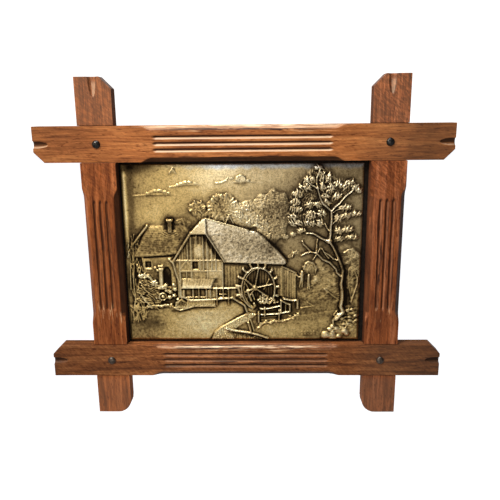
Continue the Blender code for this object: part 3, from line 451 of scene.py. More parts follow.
# Backing board. A sheet of dark hardboard lies in the rebate at the back and carries the plaque. Its
# mesh-patterned side faces the wall. Its near-black colour is partly the board's own and partly painted shade
# for the narrow gap round the plaque.
def finish_board():
    """Dark hardboard, matt, with the fine screen pattern of its back, made near black partly as painted
    shade.
    """
    material, tree, shader, place = start_material("dark hardboard", 0.95, 0.0)
    shader.inputs["Specular IOR Level"].default_value = 0.1
    fibres = add_noise(tree, place, 300.0, EVENLY, 5.0)
    colour = add_ramp(tree, fibres, [(0.3, (0.006, 0.005, 0.004)), (0.7, (0.022, 0.015, 0.010))])
    link(tree, colour, shader.inputs["Base Color"])
    screen = add_node(tree, "ShaderNodeTexVoronoi", Scale=520.0, Randomness=0.15)
    link(tree, place, screen.inputs["Vector"])
    add_bump(tree, shader, 0.4, 0.0003, screen.outputs["Distance"])
    return material


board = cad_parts["backing_board"]
board.data.materials.clear()
board.data.materials.append(finish_board())


# Relief plaque. One pewter plate, cast with the whole scene in low relief, then darkened
# and rubbed back so that the highs shine warm and the recesses stay brown. It lies on the
# backing board, behind the frame's opening.
DRAWING_WIDTH = 250.0
DRAWING_HEIGHT = 192.0
PLATE_THICKNESS = 0.0016
GRID_STEP = 0.42
PLATE_TRIANGLES = 192000

# The scene is a height over a fine grid, in the units of the drawing: u to the right and
# v upwards from the lower left corner, and heights as shares of the relief's depth.
plate_low, plate_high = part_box("relief_plaque")
ground_y = plate_high.y - PLATE_THICKNESS
relief_depth = ground_y - plate_low.y
columns = int(DRAWING_WIDTH / GRID_STEP) + 1
rows = int(DRAWING_HEIGHT / GRID_STEP) + 1
grid_u, grid_v = np.meshgrid(np.linspace(0, DRAWING_WIDTH, columns), np.linspace(0, DRAWING_HEIGHT, rows))
relief = np.zeros((rows, columns))
chance = np.random.default_rng(11)


def window(low_u, low_v, high_u, high_v):
    """Return the slices of the grid that cover a box of the drawing."""
    first_row = max(int(low_v / DRAWING_HEIGHT * (rows - 1)) - 1, 0)
    last_row = min(int(high_v / DRAWING_HEIGHT * (rows - 1)) + 3, rows)
    first_column = max(int(low_u / DRAWING_WIDTH * (columns - 1)) - 1, 0)
    last_column = min(int(high_u / DRAWING_WIDTH * (columns - 1)) + 3, columns)
    return slice(first_row, last_row), slice(first_column, last_column)


def window_round(points, margin):
    """Return the window round some points."""
    us, vs = [p[0] for p in points], [p[1] for p in points]
    return window(min(us) - margin, min(vs) - margin, max(us) + margin, max(vs) + margin)


def blur(field, reach):
    """Blur a field with a bell curve of this reach, in drawing units."""
    sigma = max(reach / GRID_STEP, 0.3)
    radius = int(3 * sigma) + 1
    bell = np.exp(-0.5 * (np.arange(-radius, radius + 1) / sigma) ** 2)
    bell /= bell.sum()
    for axis in (0, 1):
        widths = [(radius, radius) if k == axis else (0, 0) for k in (0, 1)]
        padded = np.pad(field, widths, mode="edge")
        total = np.zeros_like(field)
        for k, weight in enumerate(bell):
            cut = [slice(None), slice(None)]
            cut[axis] = slice(k, k + field.shape[axis])
            total += weight * padded[tuple(cut)]
        field = total
    return field


def rough(scale):
    """Return a smooth random field of about -1 to 1 with lumps of this size."""
    field = blur(chance.standard_normal((rows, columns)), scale)
    return field / (field.std() * 2)


def along_line(points, part):
    """Return each grid point's distance to a line of points, and how far along it lies."""
    u, v = grid_u[part], grid_v[part]
    distance, share = np.full(u.shape, 1e9), np.zeros(u.shape)
    lengths = [math.dist(a, b) for a, b in zip(points, points[1:])]
    passed = 0.0
    for (start, end), length in zip(zip(points, points[1:]), lengths):
        du, dv = (end[0] - start[0]) / length, (end[1] - start[1]) / length
        t = np.clip((u - start[0]) * du + (v - start[1]) * dv, 0, length)
        d = np.hypot(u - start[0] - t * du, v - start[1] - t * dv)
        nearer = d < distance
        distance = np.where(nearer, d, distance)
        share = np.where(nearer, (passed + t) / sum(lengths), share)
        passed += length
    return distance, share


def inside_depth(outline, part):
    """Return how deep each grid point lies inside an outline, negative outside."""
    u, v = grid_u[part], grid_v[part]
    closed = list(outline) + [outline[0]]
    distance, _ = along_line(closed, part)
    odd = np.zeros(u.shape, bool)
    for (u0, v0), (u1, v1) in zip(closed, closed[1:]):
        if v0 != v1:
            crosses = (v0 > v) != (v1 > v)
            odd ^= crosses & (u < (u1 - u0) * (v - v0) / (v1 - v0) + u0)
    return np.where(odd, distance, -distance)


def mask_inside(outline, margin, soft, start=0.0):
    """Return a field that is 0 outside an outline and eases to 1 within it."""
    field = np.zeros_like(relief)
    part = window_round(outline, margin)
    field[part] = fade(start + inside_depth(outline, part) / soft)
    return field


def oblong(left, foot, right, top):
    """Return the outline of an upright oblong."""
    return [(left, foot), (right, foot), (right, top), (left, top)]


def raise_patch(outline, heights, texture=None, soft=0.7):
    """Raise a flat or sloping form, with a texture of its own laid over it."""
    part = window_round(outline, soft)
    u, v = grid_u[part], grid_v[part]
    if isinstance(heights, (list, tuple)):
        corners = np.array([(a, b, 1.0) for a, b in outline])
        slope = np.linalg.lstsq(corners, np.array(heights), rcond=None)[0]
        level = slope[0] * u + slope[1] * v + slope[2]
    else:
        level = np.full(u.shape, float(heights))
    if texture is not None:
        level = level + texture(u, v, part)
    weight = fade(0.5 + inside_depth(outline, part) / soft)
    relief[part] += weight * (np.maximum(relief[part], level) - relief[part])


def sink_pocket(outline, floor, soft=0.6):
    """Sink a recess to a floor height."""
    part = window_round(outline, soft)
    weight = fade(0.5 + inside_depth(outline, part) / soft)
    relief[part] += weight * (np.minimum(relief[part], floor) - relief[part])


def raise_limb(points, start_width, end_width, start_height, end_height, bark=0.0):
    """Raise a round tapering strip along a line of points."""
    part = window_round(points, max(start_width, end_width))
    distance, share = along_line(points, part)
    half = 0.5 * (start_width + (end_width - start_width) * share)
    level = start_height + (end_height - start_height) * share
    if bark:
        level = level + bark * np.sin(grid_u[part] * 2.9 + 4 * np.sin(grid_v[part] * 0.7)) * (distance < half)
    round_part = np.sqrt(np.clip(1 - (distance / half) ** 2, 0, 1))
    relief[part] = np.maximum(relief[part], level * round_part ** 0.7)


def raise_bar(start, end, width, height, end_height=None, grain=0.0):
    """Raise a straight bar with a flat top and sloped sides."""
    end_height = height if end_height is None else end_height
    part = window_round((start, end), width)
    length = math.dist(start, end)
    du, dv = (end[0] - start[0]) / length, (end[1] - start[1]) / length
    u, v = grid_u[part] - start[0], grid_v[part] - start[1]
    t, d = u * du + v * dv, np.abs(u * dv - v * du)
    edge = np.minimum(width / 2 - d, np.minimum(t, length - t) + 0.15 * width)
    level = height + (end_height - height) * np.clip(t / length, 0, 1)
    level = level + grain * np.sin(7.0 * (u * dv - v * du) + 0.6 * np.sin(t * 0.9))
    weight = fade(0.35 + edge / (0.42 * width))
    relief[part] += weight * (np.maximum(relief[part], level) - relief[part])


def raise_mound(u, v, half_width, half_height, height, lobes=0, lobe_depth=0.12, turn=0.0):
    """Raise a dome, round or lobed."""
    part = window(u - 1.3 * half_width, v - 1.3 * half_height, u + 1.3 * half_width, v + 1.3 * half_height)
    across, up = (grid_u[part] - u) / half_width, (grid_v[part] - v) / half_height
    radius = np.hypot(across, up)
    if lobes:
        radius = radius / (1 + lobe_depth * np.cos(lobes * np.arctan2(up, across) + turn))
    relief[part] = np.maximum(relief[part], height * np.sqrt(np.clip(1 - radius ** 2, 0, 1)) ** 0.8)


def raise_hoop(u, v, half_width, half_height, thickness, height):
    """Raise an oval ring."""
    part = window(u - half_width - 1, v - half_height - 1, u + half_width + 1, v + half_height + 1)
    across, up = grid_u[part] - u, grid_v[part] - v
    angle = np.arctan2(up / half_height, across / half_width)
    rim = np.hypot(half_width * np.cos(angle), half_height * np.sin(angle))
    depth = np.abs(np.hypot(across, up) - rim + thickness / 2)
    weight = fade((0.55 * thickness - depth) / (0.3 * thickness))
    relief[part] += weight * (np.maximum(relief[part], height) - relief[part])


def add_dabs(places, length, width, height, angle=None, lift=None):
    """Add a layer of small leaf-shaped dabs on top of what is there."""
    layer = np.zeros_like(relief)
    for u, v in places:
        grown = 0.75 + 0.5 * chance.random()
        turn = chance.uniform(0, math.pi) if angle is None else angle + chance.normal(0, 0.35)
        part = window(u - length, v - length, u + length, v + length)
        du, dv = grid_u[part] - u, grid_v[part] - v
        t = (du * math.cos(turn) + dv * math.sin(turn)) / (0.5 * length * grown)
        s = (dv * math.cos(turn) - du * math.sin(turn)) / (0.5 * width * grown)
        dab = height * (0.6 + 0.4 * chance.random()) * np.sqrt(np.clip(1 - t * t - s * s, 0, 1))
        layer[part] = np.maximum(layer[part], dab)
    relief[:] += layer if lift is None else layer * lift
    return layer


def scatter(u, v, half_width, half_height, count, turn=0.0):
    """Return points that fill an oval evenly, in the order of a sunflower's seeds."""
    golden_angle = math.pi * (3 - math.sqrt(5))
    places = []
    for k in range(count):
        reach = math.sqrt((k + 0.5) / count)
        angle = turn + golden_angle * k
        places.append((u + half_width * reach * math.cos(angle), v + half_height * reach * math.sin(angle)))
    return places


def cells(size_u, size_v):
    """Return a field of rounded cells, 1 in the middle of each and 0 at the joints."""
    across, up = grid_u / size_u, grid_v / size_v
    count_u, count_v = int(DRAWING_WIDTH / size_u) + 4, int(DRAWING_HEIGHT / size_v) + 4
    shift_u = chance.uniform(-0.32, 0.32, (count_v, count_u))
    shift_v = chance.uniform(-0.32, 0.32, (count_v, count_u))
    nearest, second = np.full(relief.shape, 9.0), np.full(relief.shape, 9.0)
    for step_v in (-1, 0, 1):
        for step_u in (-1, 0, 1):
            k = np.floor(across).astype(int) + step_u + 1
            m = np.floor(up).astype(int) + step_v + 1
            distance = np.hypot(across - (k - 0.5 + shift_u[m, k]), up - (m - 0.5 + shift_v[m, k]))
            second = np.minimum(second, np.maximum(nearest, distance))
            nearest = np.minimum(nearest, distance)
    return fade((second - nearest) * 2.4)


skin, pebbles, lumps, swells = rough(0.5), rough(1.0), rough(2.4), rough(7.0)
small_stones = cells(2.2, 1.7)
brushed = sum(np.roll(skin, k, axis=0) for k in range(16)) / 5


def pebbled(fine, coarse=0.0):
    """Return a texture of fine pebbles over coarser lumps."""
    return lambda u, v, part: fine * skin[part] + fine * pebbles[part] + coarse * lumps[part]


def stony(amount):
    """Return a texture of set stones."""
    return lambda u, v, part: amount * (small_stones[part] - 0.6) + 0.2 * amount * skin[part]


def boarded(pitch, depth, lean=0.0, start=0.0):
    """Return a texture of upright boards with open joints."""
    def texture(u, v, part):
        place = (u + lean * v - start) / pitch
        joint = np.abs((place % 1) - 0.5) * 2
        board = np.floor(place)
        step = 0.35 * depth * np.sin(board * 2.4)
        grain = 0.3 * depth * np.sin(u * 9 + 1.5 * np.sin(v * 0.5)) + 0.2 * depth * skin[part]
        return step + grain - depth * fade((joint - 0.62) / 0.3)
    return texture


def shingled(direction, pitch, depth, width):
    """Return a texture of overlapping courses of shingles; direction points down the slope."""
    size = math.hypot(*direction)
    down_u, down_v = direction[0] / size, direction[1] / size
    def texture(u, v, part):
        down = (u * down_u + v * down_v + 0.25 * lumps[part]) / pitch
        course = np.floor(down)
        lap = depth * (down % 1)
        side = ((v * down_u - u * down_v) / width + 0.37 * course) % 1
        joint = fade((np.abs(side - 0.5) - 0.4) / 0.08)
        return lap - 0.6 * depth * joint + 0.5 * depth * pebbles[part] + 0.4 * depth * skin[part]
    return texture


# Land: the lawn below the mill, the bank at its right and the ground behind the tree.
lawn = [(-3, -3), (253, -3), (253, 42), (228, 40), (208, 56), (183, 56), (182, 46), (130, 46)]
lawn += [(114, 50), (95, 46), (66, 44), (57, 35), (46, 41.5), (34, 39.3), (23, 38.6), (12, 40), (-3, 41)]
raise_patch(lawn, 0.17, pebbled(0.012, 0.008), soft=2.2)
right_bank = [(118, -3), (253, -3), (253, 38), (214, 33), (186, 28.5), (172, 24), (146, 17), (138, 13)]
raise_patch(right_bank, 0.24, pebbled(0.012, 0.02), soft=1.4)
meadow = [(182, 44), (253, 40), (253, 92), (236, 108), (205, 92), (182, 74)]
raise_patch(meadow, [0.17, 0.22, 0.22, 0.18, 0.1, 0.1], pebbled(0.012, 0.02), soft=5.0)
hillside = [(229.5, 42), (253, 42), (253, 92), (241, 103), (231, 99)]
raise_patch(hillside, [0.2, 0.24, 0.3, 0.28, 0.24], pebbled(0.02, 0.05), soft=2.4)
meadow_mask = mask_inside(meadow, 3, 5)
places = [(chance.uniform(182, 250), chance.uniform(44, 100)) for k in range(420)]
add_dabs(places, 6.0, 0.8, 0.07, angle=0.45, lift=meadow_mask)
places = [(chance.uniform(182, 230), chance.uniform(44, 66)) for k in range(160)]
add_dabs(places, 7.0, 0.8, 0.075, angle=0.2, lift=meadow_mask)

# Trees behind the roofs: domes made of small dabs of leaf.
hedges = (
    (105, 147, 17, 15, 0.27, 7), (78.5, 146, 9.0, 8.0, 0.24, 5), (130, 139, 17, 15, 0.3, 6),
    (157, 137, 17, 28, 0.28, 8), (62, 130, 9, 6, 0.13, 5), (148, 118, 11, 13, 0.26, 5),
    (92, 136, 14, 8, 0.2, 5), (164, 150, 10, 13, 0.27, 6), (146, 150, 9, 11, 0.26, 6),
)
for u, v, half_width, half_height, height, lobes in hedges:
    raise_mound(u, v, half_width, half_height, height, lobes, 0.07, u)
leaf_mask = fade(relief / 0.12) * (grid_v > 112) * (grid_u > 50) * (grid_u < 178)
places = []
for u, v, half_width, half_height, height, lobes in hedges:
    count = int(half_width * half_height * 1.1)
    places += scatter(u, v, half_width, half_height, count, u)
places = [(u + chance.normal(0, 0.5), v + chance.normal(0, 0.5)) for u, v in places]
add_dabs(places, 2.0, 0.9, 0.12, lift=leaf_mask)
add_dabs(places[::4], 3.0, 1.2, 0.08, lift=leaf_mask)
relief += leaf_mask * (0.05 * np.minimum(pebbles, 0) + 0.05 * np.minimum(lumps, 0))
for k in range(22):
    angle = 0.1 + 2 * math.pi * k / 22
    inner, outer = 0.42 + 0.2 * chance.random(), 0.86 + 0.12 * chance.random()
    centre_u, half_width, half_height = (105, 17, 15) if k % 3 else (78.5, 9, 8)
    twig = [
        (centre_u + reach * half_width * math.cos(turn), 147 + reach * half_height * math.sin(turn))
        for reach, turn in ((inner, angle), (outer, angle + 0.1))
    ]
    raise_limb(twig, 1.1, 2.0, 0.34, 0.42)
for u, v, spread in (
    (132, 131, 3.4), (143, 136, 3.6), (122, 139, 4.4), (154, 116, 3.4), (161, 116, 3.6), (128, 146, 4.0),
    (140, 128, 3.0), (170, 115.5, 3.4), (178, 118, 3.0), (185, 120.5, 3.0), (148, 131, 3.4),
):
    raise_mound(u, v, spread, 0.6 * spread, 0.2, 6, 0.2, u)
    add_dabs(scatter(u, v, 1.1 * spread, 0.8 * spread, 16, u), 2.2, 1.0, 0.22, angle=math.pi / 2)
raise_limb([(107, 130), (111.4, 139)], 1.5, 1.2, 0.46, 0.44)
raise_limb([(111.4, 139), (115.7, 130)], 1.5, 1.2, 0.44, 0.46)

# Annex: the low house at the left, its roof, its chimney and its wall.
raise_patch(oblong(19, 58, 54, 97), 0.33, pebbled(0.012, 0.015))
annex_roof = [(25.5, 127.6), (64, 128.4), (74, 118), (54.5, 97), (31, 95.2), (8.5, 94.3)]
raise_patch(annex_roof, [0.2, 0.2, 0.34, 0.5, 0.5, 0.46], shingled((-0.06, -1), 2.4, 0.05, 3.4), soft=3.6)
sink_pocket(oblong(42.4, 124, 54.2, 137.5), 0.1, soft=1.6)
raise_patch(oblong(46.8, 121, 51.2, 135), 0.66, stony(0.1))
raise_patch(oblong(45.2, 132.6, 52.4, 135.4), 0.74)
for k in range(3):
    ripple = [(41.5 - k, 122.5 - 2 * k), (48, 118.6 - 2.4 * k), (55.5 + k, 122.5 - 2 * k)]
    raise_limb(ripple, 1.1, 1.1, 0.44, 0.44)
sink_pocket([(19, 92.6), (54, 95), (54, 97), (19, 94.8)], 0.2)
raise_bar((20.6, 81.6), (28.4, 81.6), 1.4, 0.46)
for low_u, high_u in ((20.2, 21.2), (27.6, 28.6)):
    raise_patch(oblong(low_u, 82, high_u, 90.4), 0.44)

# Mill walls: a plastered gable between timbers, a boarded side, a shed and a foot wall.
plaster = pebbled(0.012, 0.02)
gable = [(55, 49), (103.6, 49), (103.6, 91), (86.5, 120.5), (70.5, 120.5), (53.5, 91)]
raise_patch(gable, 0.52, boarded(2.7, 0.09, start=0.5))
raise_patch(oblong(57, 64, 103, 90.6), 0.54, boarded(4.1, 0.06, start=0.2))
raise_patch(oblong(73.6, 93, 82.4, 108), 0.58, plaster, soft=1.4)
raise_patch([(103, 49), (124, 49), (168, 51), (168, 90), (103, 90)], 0.38, boarded(3.1, 0.07))
raise_patch([(166, 47), (181.5, 45), (181.5, 75), (167, 82)], 0.3, boarded(2.6, 0.07))
raise_patch(oblong(64, 38.6, 95, 48), 0.44, stony(0.13))

# Openings: windows, the arch by the annex, the wheel pit and the shade of the eaves.
for u, v, width, height, floor in (
    (21.4, 83.2, 6, 6.4, 0.06), (71.8, 81.6, 5.2, 7.6, 0.1), (62.4, 50.5, 7.4, 8.6, 0.1),
    (72.4, 50.5, 4, 8.6, 0.2), (78.4, 50.5, 6.2, 8.6, 0.16), (97.8, 50, 10.4, 9, 0.12),
    (59.2, 71.2, 9.6, 6.6, 0.42), (93.4, 66, 4.4, 6.5, 0.42),
):
    sink_pocket(oblong(u, v, u + width, v + height), floor)
sink_pocket([(39.8, 62), (48.6, 62), (48.2, 79), (45.5, 83.5), (42, 83.5), (39.8, 79)], 0.04, soft=1.0)
pit = []
for k in range(40):
    angle = 2 * math.pi * k / 40
    pit.append((141 + 21 * math.cos(angle), 62 + 26.5 * math.sin(angle)))
sink_pocket(pit, 0.12, soft=5.0)
part = window(118, 44, 166, 86)
board_joint = np.abs((grid_u[part] / 2.9) % 1 - 0.5) * 2
inside_pit = fade(inside_depth(pit, part) / 2)
relief[part] += inside_pit * 0.09 * fade((0.7 - board_joint) / 0.3) * (grid_v[part] > 50)
sink_pocket([(83.6, 118), (88.6, 118), (106, 91.2), (97.4, 91.2)], 0.3, soft=1.6)
sink_pocket([(104.5, 84.5), (168, 82.5), (168, 87), (104.5, 89.4)], 0.3, soft=2.6)

# Roofs of the mill: the long slope, the half-hip and the lean-to.
main_roof = [(85.6, 135.6), (97, 132), (104, 129.8), (114, 127.2), (131.6, 122.6), (137, 122), (141, 120.4)]
main_roof += [(149, 114), (155.4, 107.6), (161.6, 101.9), (170.9, 90.6), (171, 87.4), (167, 86.2)]
main_roof += [(151.4, 86.8), (130, 88.2), (106.4, 89.6), (101.2, 98.3), (95.5, 107), (89.8, 115), (85.7, 120)]
part = window_round(main_roof, 2)
slope_share = np.clip((grid_v[part] - 86) / 44, 0, 1)
roof_level = 0.82 - 0.36 * slope_share
courses = shingled((0.42, -1), 2.5, 0.02, 2.6)(grid_u[part], grid_v[part], part)
mottle = 0.006 * pebbles[part] + 0.04 * skin[part]
roof_weight = fade(0.5 + inside_depth(main_roof, part) / 0.9)
relief[part] += roof_weight * (roof_level + courses + mottle - relief[part])
half_hip = [(69.2, 118.8), (87.0, 118.8), (87.2, 125), (86.2, 135.8), (83, 135.2), (71.5, 123)]
raise_patch(half_hip, [0.9, 0.9, 0.82, 0.62, 0.62, 0.86], pebbled(0.014, 0.03))
raise_limb([(86.2, 135.4), (86.6, 128), (86.9, 120.2)], 1.6, 1.8, 0.74, 0.94)
sink_pocket(oblong(71.5, 118.9, 86, 116.4), 0.3, soft=1.0)
lean_to = [(59.2, 61), (61.6, 71), (95, 70.5), (91.2, 61)]
raise_patch(lean_to, [0.92, 0.62, 0.62, 0.92], boarded(2.8, 0.05, lean=-0.3))
sink_pocket(oblong(60, 58.4, 91, 59.8), 0.2, soft=0.8)

# Timbers: verges, beams, posts and braces, then the copings and the landing stage.
for bar in (
    ((71.3, 121.8), (51.5, 90.6), 2.5, 0.92), ((86.4, 120.5), (105.9, 89.0), 2.2, 0.98),
    ((105, 89.2), (169.6, 86.6), 1.3, 0.84), ((85.8, 135.9), (132, 122.8), 1.2, 0.58),
    ((25.6, 128.8), (6.6, 105.2), 2.7, 0.62, 0.5), ((54, 90.9), (103.5, 90.9), 1.5, 0.69, 0.69, 0.03),
    ((57, 79.3), (103, 79.3), 1.5, 0.63, 0.63, 0.03), ((57.2, 80), (64.8, 90), 1.5, 0.63),
    ((65, 90), (70, 84), 1.2, 0.6),
):
    raise_bar(*bar)
for u, low, high, width in (
    (58, 49.5, 91, 1.6), (70.4, 71, 116, 1.6), (66.6, 91, 107, 1.0), (76.2, 107, 118, 1.0),
    (83.2, 80, 118, 1.5), (79.6, 80, 91, 1.1), (87.2, 61, 114, 1.5), (92, 80, 108, 1.0), (96, 91, 102, 1.0),
    (103.4, 49, 90, 1.8), (65, 71, 79, 1.0), (96.5, 80, 90, 0.9),
):
    raise_bar((u, low), (u, high), width, 0.67, grain=0.03)
raise_patch(oblong(89, 71, 102, 78), 0.62, plaster, soft=1.0)
raise_bar((166, 83.8), (181.8, 76.0), 1.7, 0.52)
for u in (71.2, 77.2, 85.4, 89.6):
    raise_bar((u, 48.5), (u, 61), 1.4, 0.8)
raise_bar((59, 60.4), (92, 60.4), 1.2, 0.98)
raise_bar((93, 59.8), (118.6, 60.4), 1.6, 0.84)
raise_bar((99, 53), (107, 53), 1.0, 0.6)
for u in (96.6, 109.2):
    raise_bar((u, 40.6), (u, 60), 1.6, 0.78)
for start, end in (
    ((58.6, 50.8), (68.8, 45.9)), ((68.4, 46.2), (95, 47.6)), ((94.6, 47.4), (113.8, 49)),
    ((113.2, 49.2), (126.6, 40.4)), ((126.2, 41), (129.8, 30.4)),
):
    raise_bar(start, end, 2.3, 0.66)
path_edge = [(46.4, 41.4), (49, 38.4), (51.7, 36.6), (56.7, 35), (63.9, 36.8), (71, 39)]
raise_limb(path_edge, 1.6, 2.2, 0.46, 0.56, bark=0.04)
for k in range(34):
    u = 20 + 27 * (k + chance.random()) / 34
    v = 38.7 + 0.08 * (u - 20) + chance.normal(0, 0.8)
    raise_mound(u, v, 1.5, 1.0, 0.36 + 0.2 * chance.random(), 4, 0.2, u)
bank_foot = [(50, 34.4), (57, 32.6), (66, 35.0), (72, 37.0), (94, 37.6), (94, 38.4), (70, 38), (57, 34)]
sink_pocket(bank_foot, 0.08, soft=1.2)

# Water wheel: rim, hub, spokes and paddles, the buckets, and the stones in the spray.
WHEEL_U, WHEEL_V, WHEEL_REACH_U, WHEEL_REACH_V = 141.0, 59.5, 18.7, 24.4
HUB_U, HUB_V = 137.6, 60.4
raise_hoop(WHEEL_U + 1.6, WHEEL_V - 0.4, WHEEL_REACH_U - 1.0, WHEEL_REACH_V - 1.2, 1.6, 0.62)
for k in range(17):
    angle = 2 * math.pi * (k + 0.2) / 17
    if math.sin(angle) > -0.5:
        near = (WHEEL_U + WHEEL_REACH_U * math.cos(angle), WHEEL_V + WHEEL_REACH_V * math.sin(angle))
        far = (near[0] + 4.8 * math.cos(angle) - 0.8, near[1] + 5.0 * math.sin(angle))
        raise_bar(near, far, 2.9, 0.76 if math.cos(angle) > 0.3 else 0.9)
for tip in ((141.6, 82), (126.6, 70.5), (156.6, 64.6), (151, 50.5), (132.5, 52), (127, 55.5)):
    raise_bar((HUB_U, HUB_V), tip, 1.8, 0.86, 0.84, grain=0.02)
raise_bar((126, 68), (133, 55), 1.1, 0.6)
raise_bar((147, 58), (153, 70), 1.1, 0.5)
raise_hoop(WHEEL_U, WHEEL_V, WHEEL_REACH_U, WHEEL_REACH_V, 2.2, 0.95)
raise_mound(HUB_U, HUB_V, 3.4, 3.6, 1.0)
for start, end, width, height in (
    ((119.4, 62.5), (122.6, 50.4), 3.8, 0.84), ((123.6, 61), (126.6, 46), 1.4, 0.6),
    ((129.4, 57.4), (133.6, 46), 3.6, 0.86), ((134.8, 54), (137, 46.6), 2.0, 0.7),
    ((125.7, 55), (129.3, 51.4), 1.2, 0.66), ((129.3, 43), (129.3, 50), 1.0, 0.6),
    ((120.4, 50), (126.4, 44), 1.6, 0.5),
):
    raise_limb([start, end], width, 0.7 * width, height, height)
for u, v in scatter(147.4, 47.2, 7.6, 5.4, 19, 1.1) + scatter(157, 44.6, 5.4, 3.4, 7, 0.4):
    grown = 1.2 + 0.9 * chance.random()
    raise_mound(u, v, grown, 0.85 * grown, 0.5 + 0.42 * chance.random(), 5, 0.18, u)
for k in range(7):
    u = 141.6 + 1.6 * k
    raise_limb([(u, 42 + 2 * chance.random()), (u + 0.6, 46 + 4 * chance.random())], 0.9, 0.6, 0.86, 0.7)
raise_limb([(136.2, 42.4), (138.4, 38.5), (137, 34.3)], 2.2, 3.4, 0.7, 0.8)
raise_mound(136.9, 34.2, 3.2, 3.4, 0.8)

# Footbridge over the race, and the rough stone edging below it.
race = [(138, 20), (148, 24), (176, 25), (184, 30), (184, 46), (164, 43), (140, 41), (131, 32)]
sink_pocket(race, 0.1, soft=3.0)
for k in range(5):
    raise_bar((142 + 0.4 * k, 33.6 - 2.6 * k), (164, 35.2 - 2.6 * k), 0.8, 0.24)
for start, end in (
    ((142.6, 36.8), (151, 36.8)), ((150.4, 36.7), (164.2, 40)), ((143.2, 30), (163, 31.2)),
    ((162.6, 31.2), (175.4, 33.8)), ((164.4, 47), (171, 43)), ((170.6, 43.2), (176, 41.2)),
    ((167.9, 48), (178, 45.8)), ((177.6, 46), (183, 46.4)),
):
    raise_bar(start, end, 1.9, 0.86)
for u, low, high in ((141.4, 20.7, 33), (147.9, 28, 39), (163.4, 23.6, 36), (165.4, 33, 47), (175, 33, 42.4)):
    raise_bar((u, low), (u, high), 2.0, 0.92)
raise_bar((170.4, 33), (170.6, 43), 1.2, 0.6)
raise_bar((183.2, 36.5), (183.2, 46.5), 2.8, 0.66)
edging = [(140, 13.6), (144.3, 17.9), (147.9, 21), (155, 20.4), (158.6, 22.9), (164.3, 22.1)]
edging += [(172.9, 23.8), (181.4, 27.9), (185.7, 29)]
raise_limb(edging, 2.6, 2.0, 0.42, 0.36)
for k in range(26):
    share = (k + 0.5) / 26 * (len(edging) - 1)
    a, b = edging[int(share)], edging[int(share) + 1]
    u = a[0] + (b[0] - a[0]) * (share % 1) + chance.normal(0, 0.7)
    v = a[1] + (b[1] - a[1]) * (share % 1) + chance.normal(0, 1.0)
    raise_mound(u, v, 1.5 + 0.5 * chance.random(), 1.0, 0.44 + 0.14 * chance.random(), 4, 0.15, u)

# Ramp of set stones down to the water, with the log and the brace beside it.
ramp = [(130.5, 31.8), (122.9, 28), (115.7, 23.8), (108.6, 19.4), (100, 14.5), (94.3, 9.4), (89.6, -3)]
ramp += [(122, -3), (112, 8), (117, 14), (124.3, 19.3), (130, 22), (139.4, 30)]
ramp_mask = mask_inside(ramp, 2, 1.2)
raise_patch(ramp, 0.42, stony(0.26), soft=1.0)
add_dabs(scatter(112, 14, 22, 20, 420, 0.5), 1.7, 1.1, 0.09, lift=ramp_mask)
raise_limb([(130.5, 31.6), (115.7, 23.8), (100, 14.5), (94, 9), (89.8, -2)], 2.2, 3.0, 0.56, 0.5)
shallows = [(113, 12.6), (118.5, 13.8), (129, 20), (131.6, 11), (150, 5), (146, -3), (116, -3)]
sink_pocket(shallows, 0.12, soft=1.2)
part = window(108, -3, 152, 20)
wet_stones = fade((0.3 - relief[part]) / 0.1) * fade((14 - 0.25 * (grid_u[part] - 108) - grid_v[part]) / 3)
relief[part] += 0.26 * wet_stones * small_stones[part] * (1 + 0.5 * pebbles[part])
log = [(106.5, 13.8), (115.7, 11.4), (130, 9.3), (140.7, 6.4), (151.4, 2.6)]
raise_limb(log, 3.0, 2.3, 0.8, 0.66, bark=0.03)
raise_mound(106.6, 13.8, 2.2, 2.0, 0.86)
raise_bar((129.8, 21.4), (133.2, 9), 1.9, 0.68)
raise_bar((132.6, 24), (136.4, 10.6), 1.5, 0.5)

# Left bank: the bushes, the barrel, the pillar, the leaning post and the reeds.
bush = [(9, 43), (35, 41.6), (36, 61), (30.5, 71), (16, 73), (9, 60)]
raise_patch(bush, [0.24, 0.24, 0.3, 0.36, 0.36, 0.24], pebbled(0.01, 0.04), soft=2.4)
for u, v, spread_u, spread_v, turn in (
    (20, 66, 6.5, 4.4, 0.3), (28, 60, 6, 4.4, 1.2), (16, 57, 6, 4.4, 2.3), (26, 50, 6.5, 4.6, 0.8),
    (15, 47, 5, 4, 1.7), (33, 52, 4, 4, 2.9), (33, 46, 4, 3.4, 0.1),
):
    raise_mound(u, v, spread_u, spread_v, 0.3, 5, 0.12, turn)
    places = scatter(u, v, spread_u, spread_v, 14, turn)
    add_dabs(places, 4.6, 1.1, 0.26, angle=-0.6 + 0.5 * math.sin(turn))
for k in range(13):
    u, v = 14.5 + 1.5 * (k % 7) + chance.normal(0, 0.5), 66 - 2.0 * k + chance.normal(0, 0.6)
    raise_limb([(u, v), (u + 4, v - 3.4), (u + 9, v - 4.4), (u + 12, v - 7)], 1.3, 0.7, 0.6, 0.42)
raise_limb([(14, 73.4), (19.6, 75), (25.4, 72.4), (28.6, 67), (33, 63.4), (38, 60.4)], 4.0, 2.6, 0.6, 0.5)
blooms = scatter(20, 73.6, 6.6, 2.2, 13, 0.4) + scatter(30, 65.6, 4.0, 3.0, 10, 0.9)
for u, v in blooms + scatter(38, 60.6, 4.0, 1.6, 6, 0.2):
    raise_mound(u, v, 1.9, 1.3, 0.56 + 0.26 * chance.random(), 4, 0.2, u)
raise_hoop(38.4, 50.7, 4.6, 4.6, 1.6, 0.66)
raise_mound(38.4, 50.7, 2.4, 2.4, 0.56)
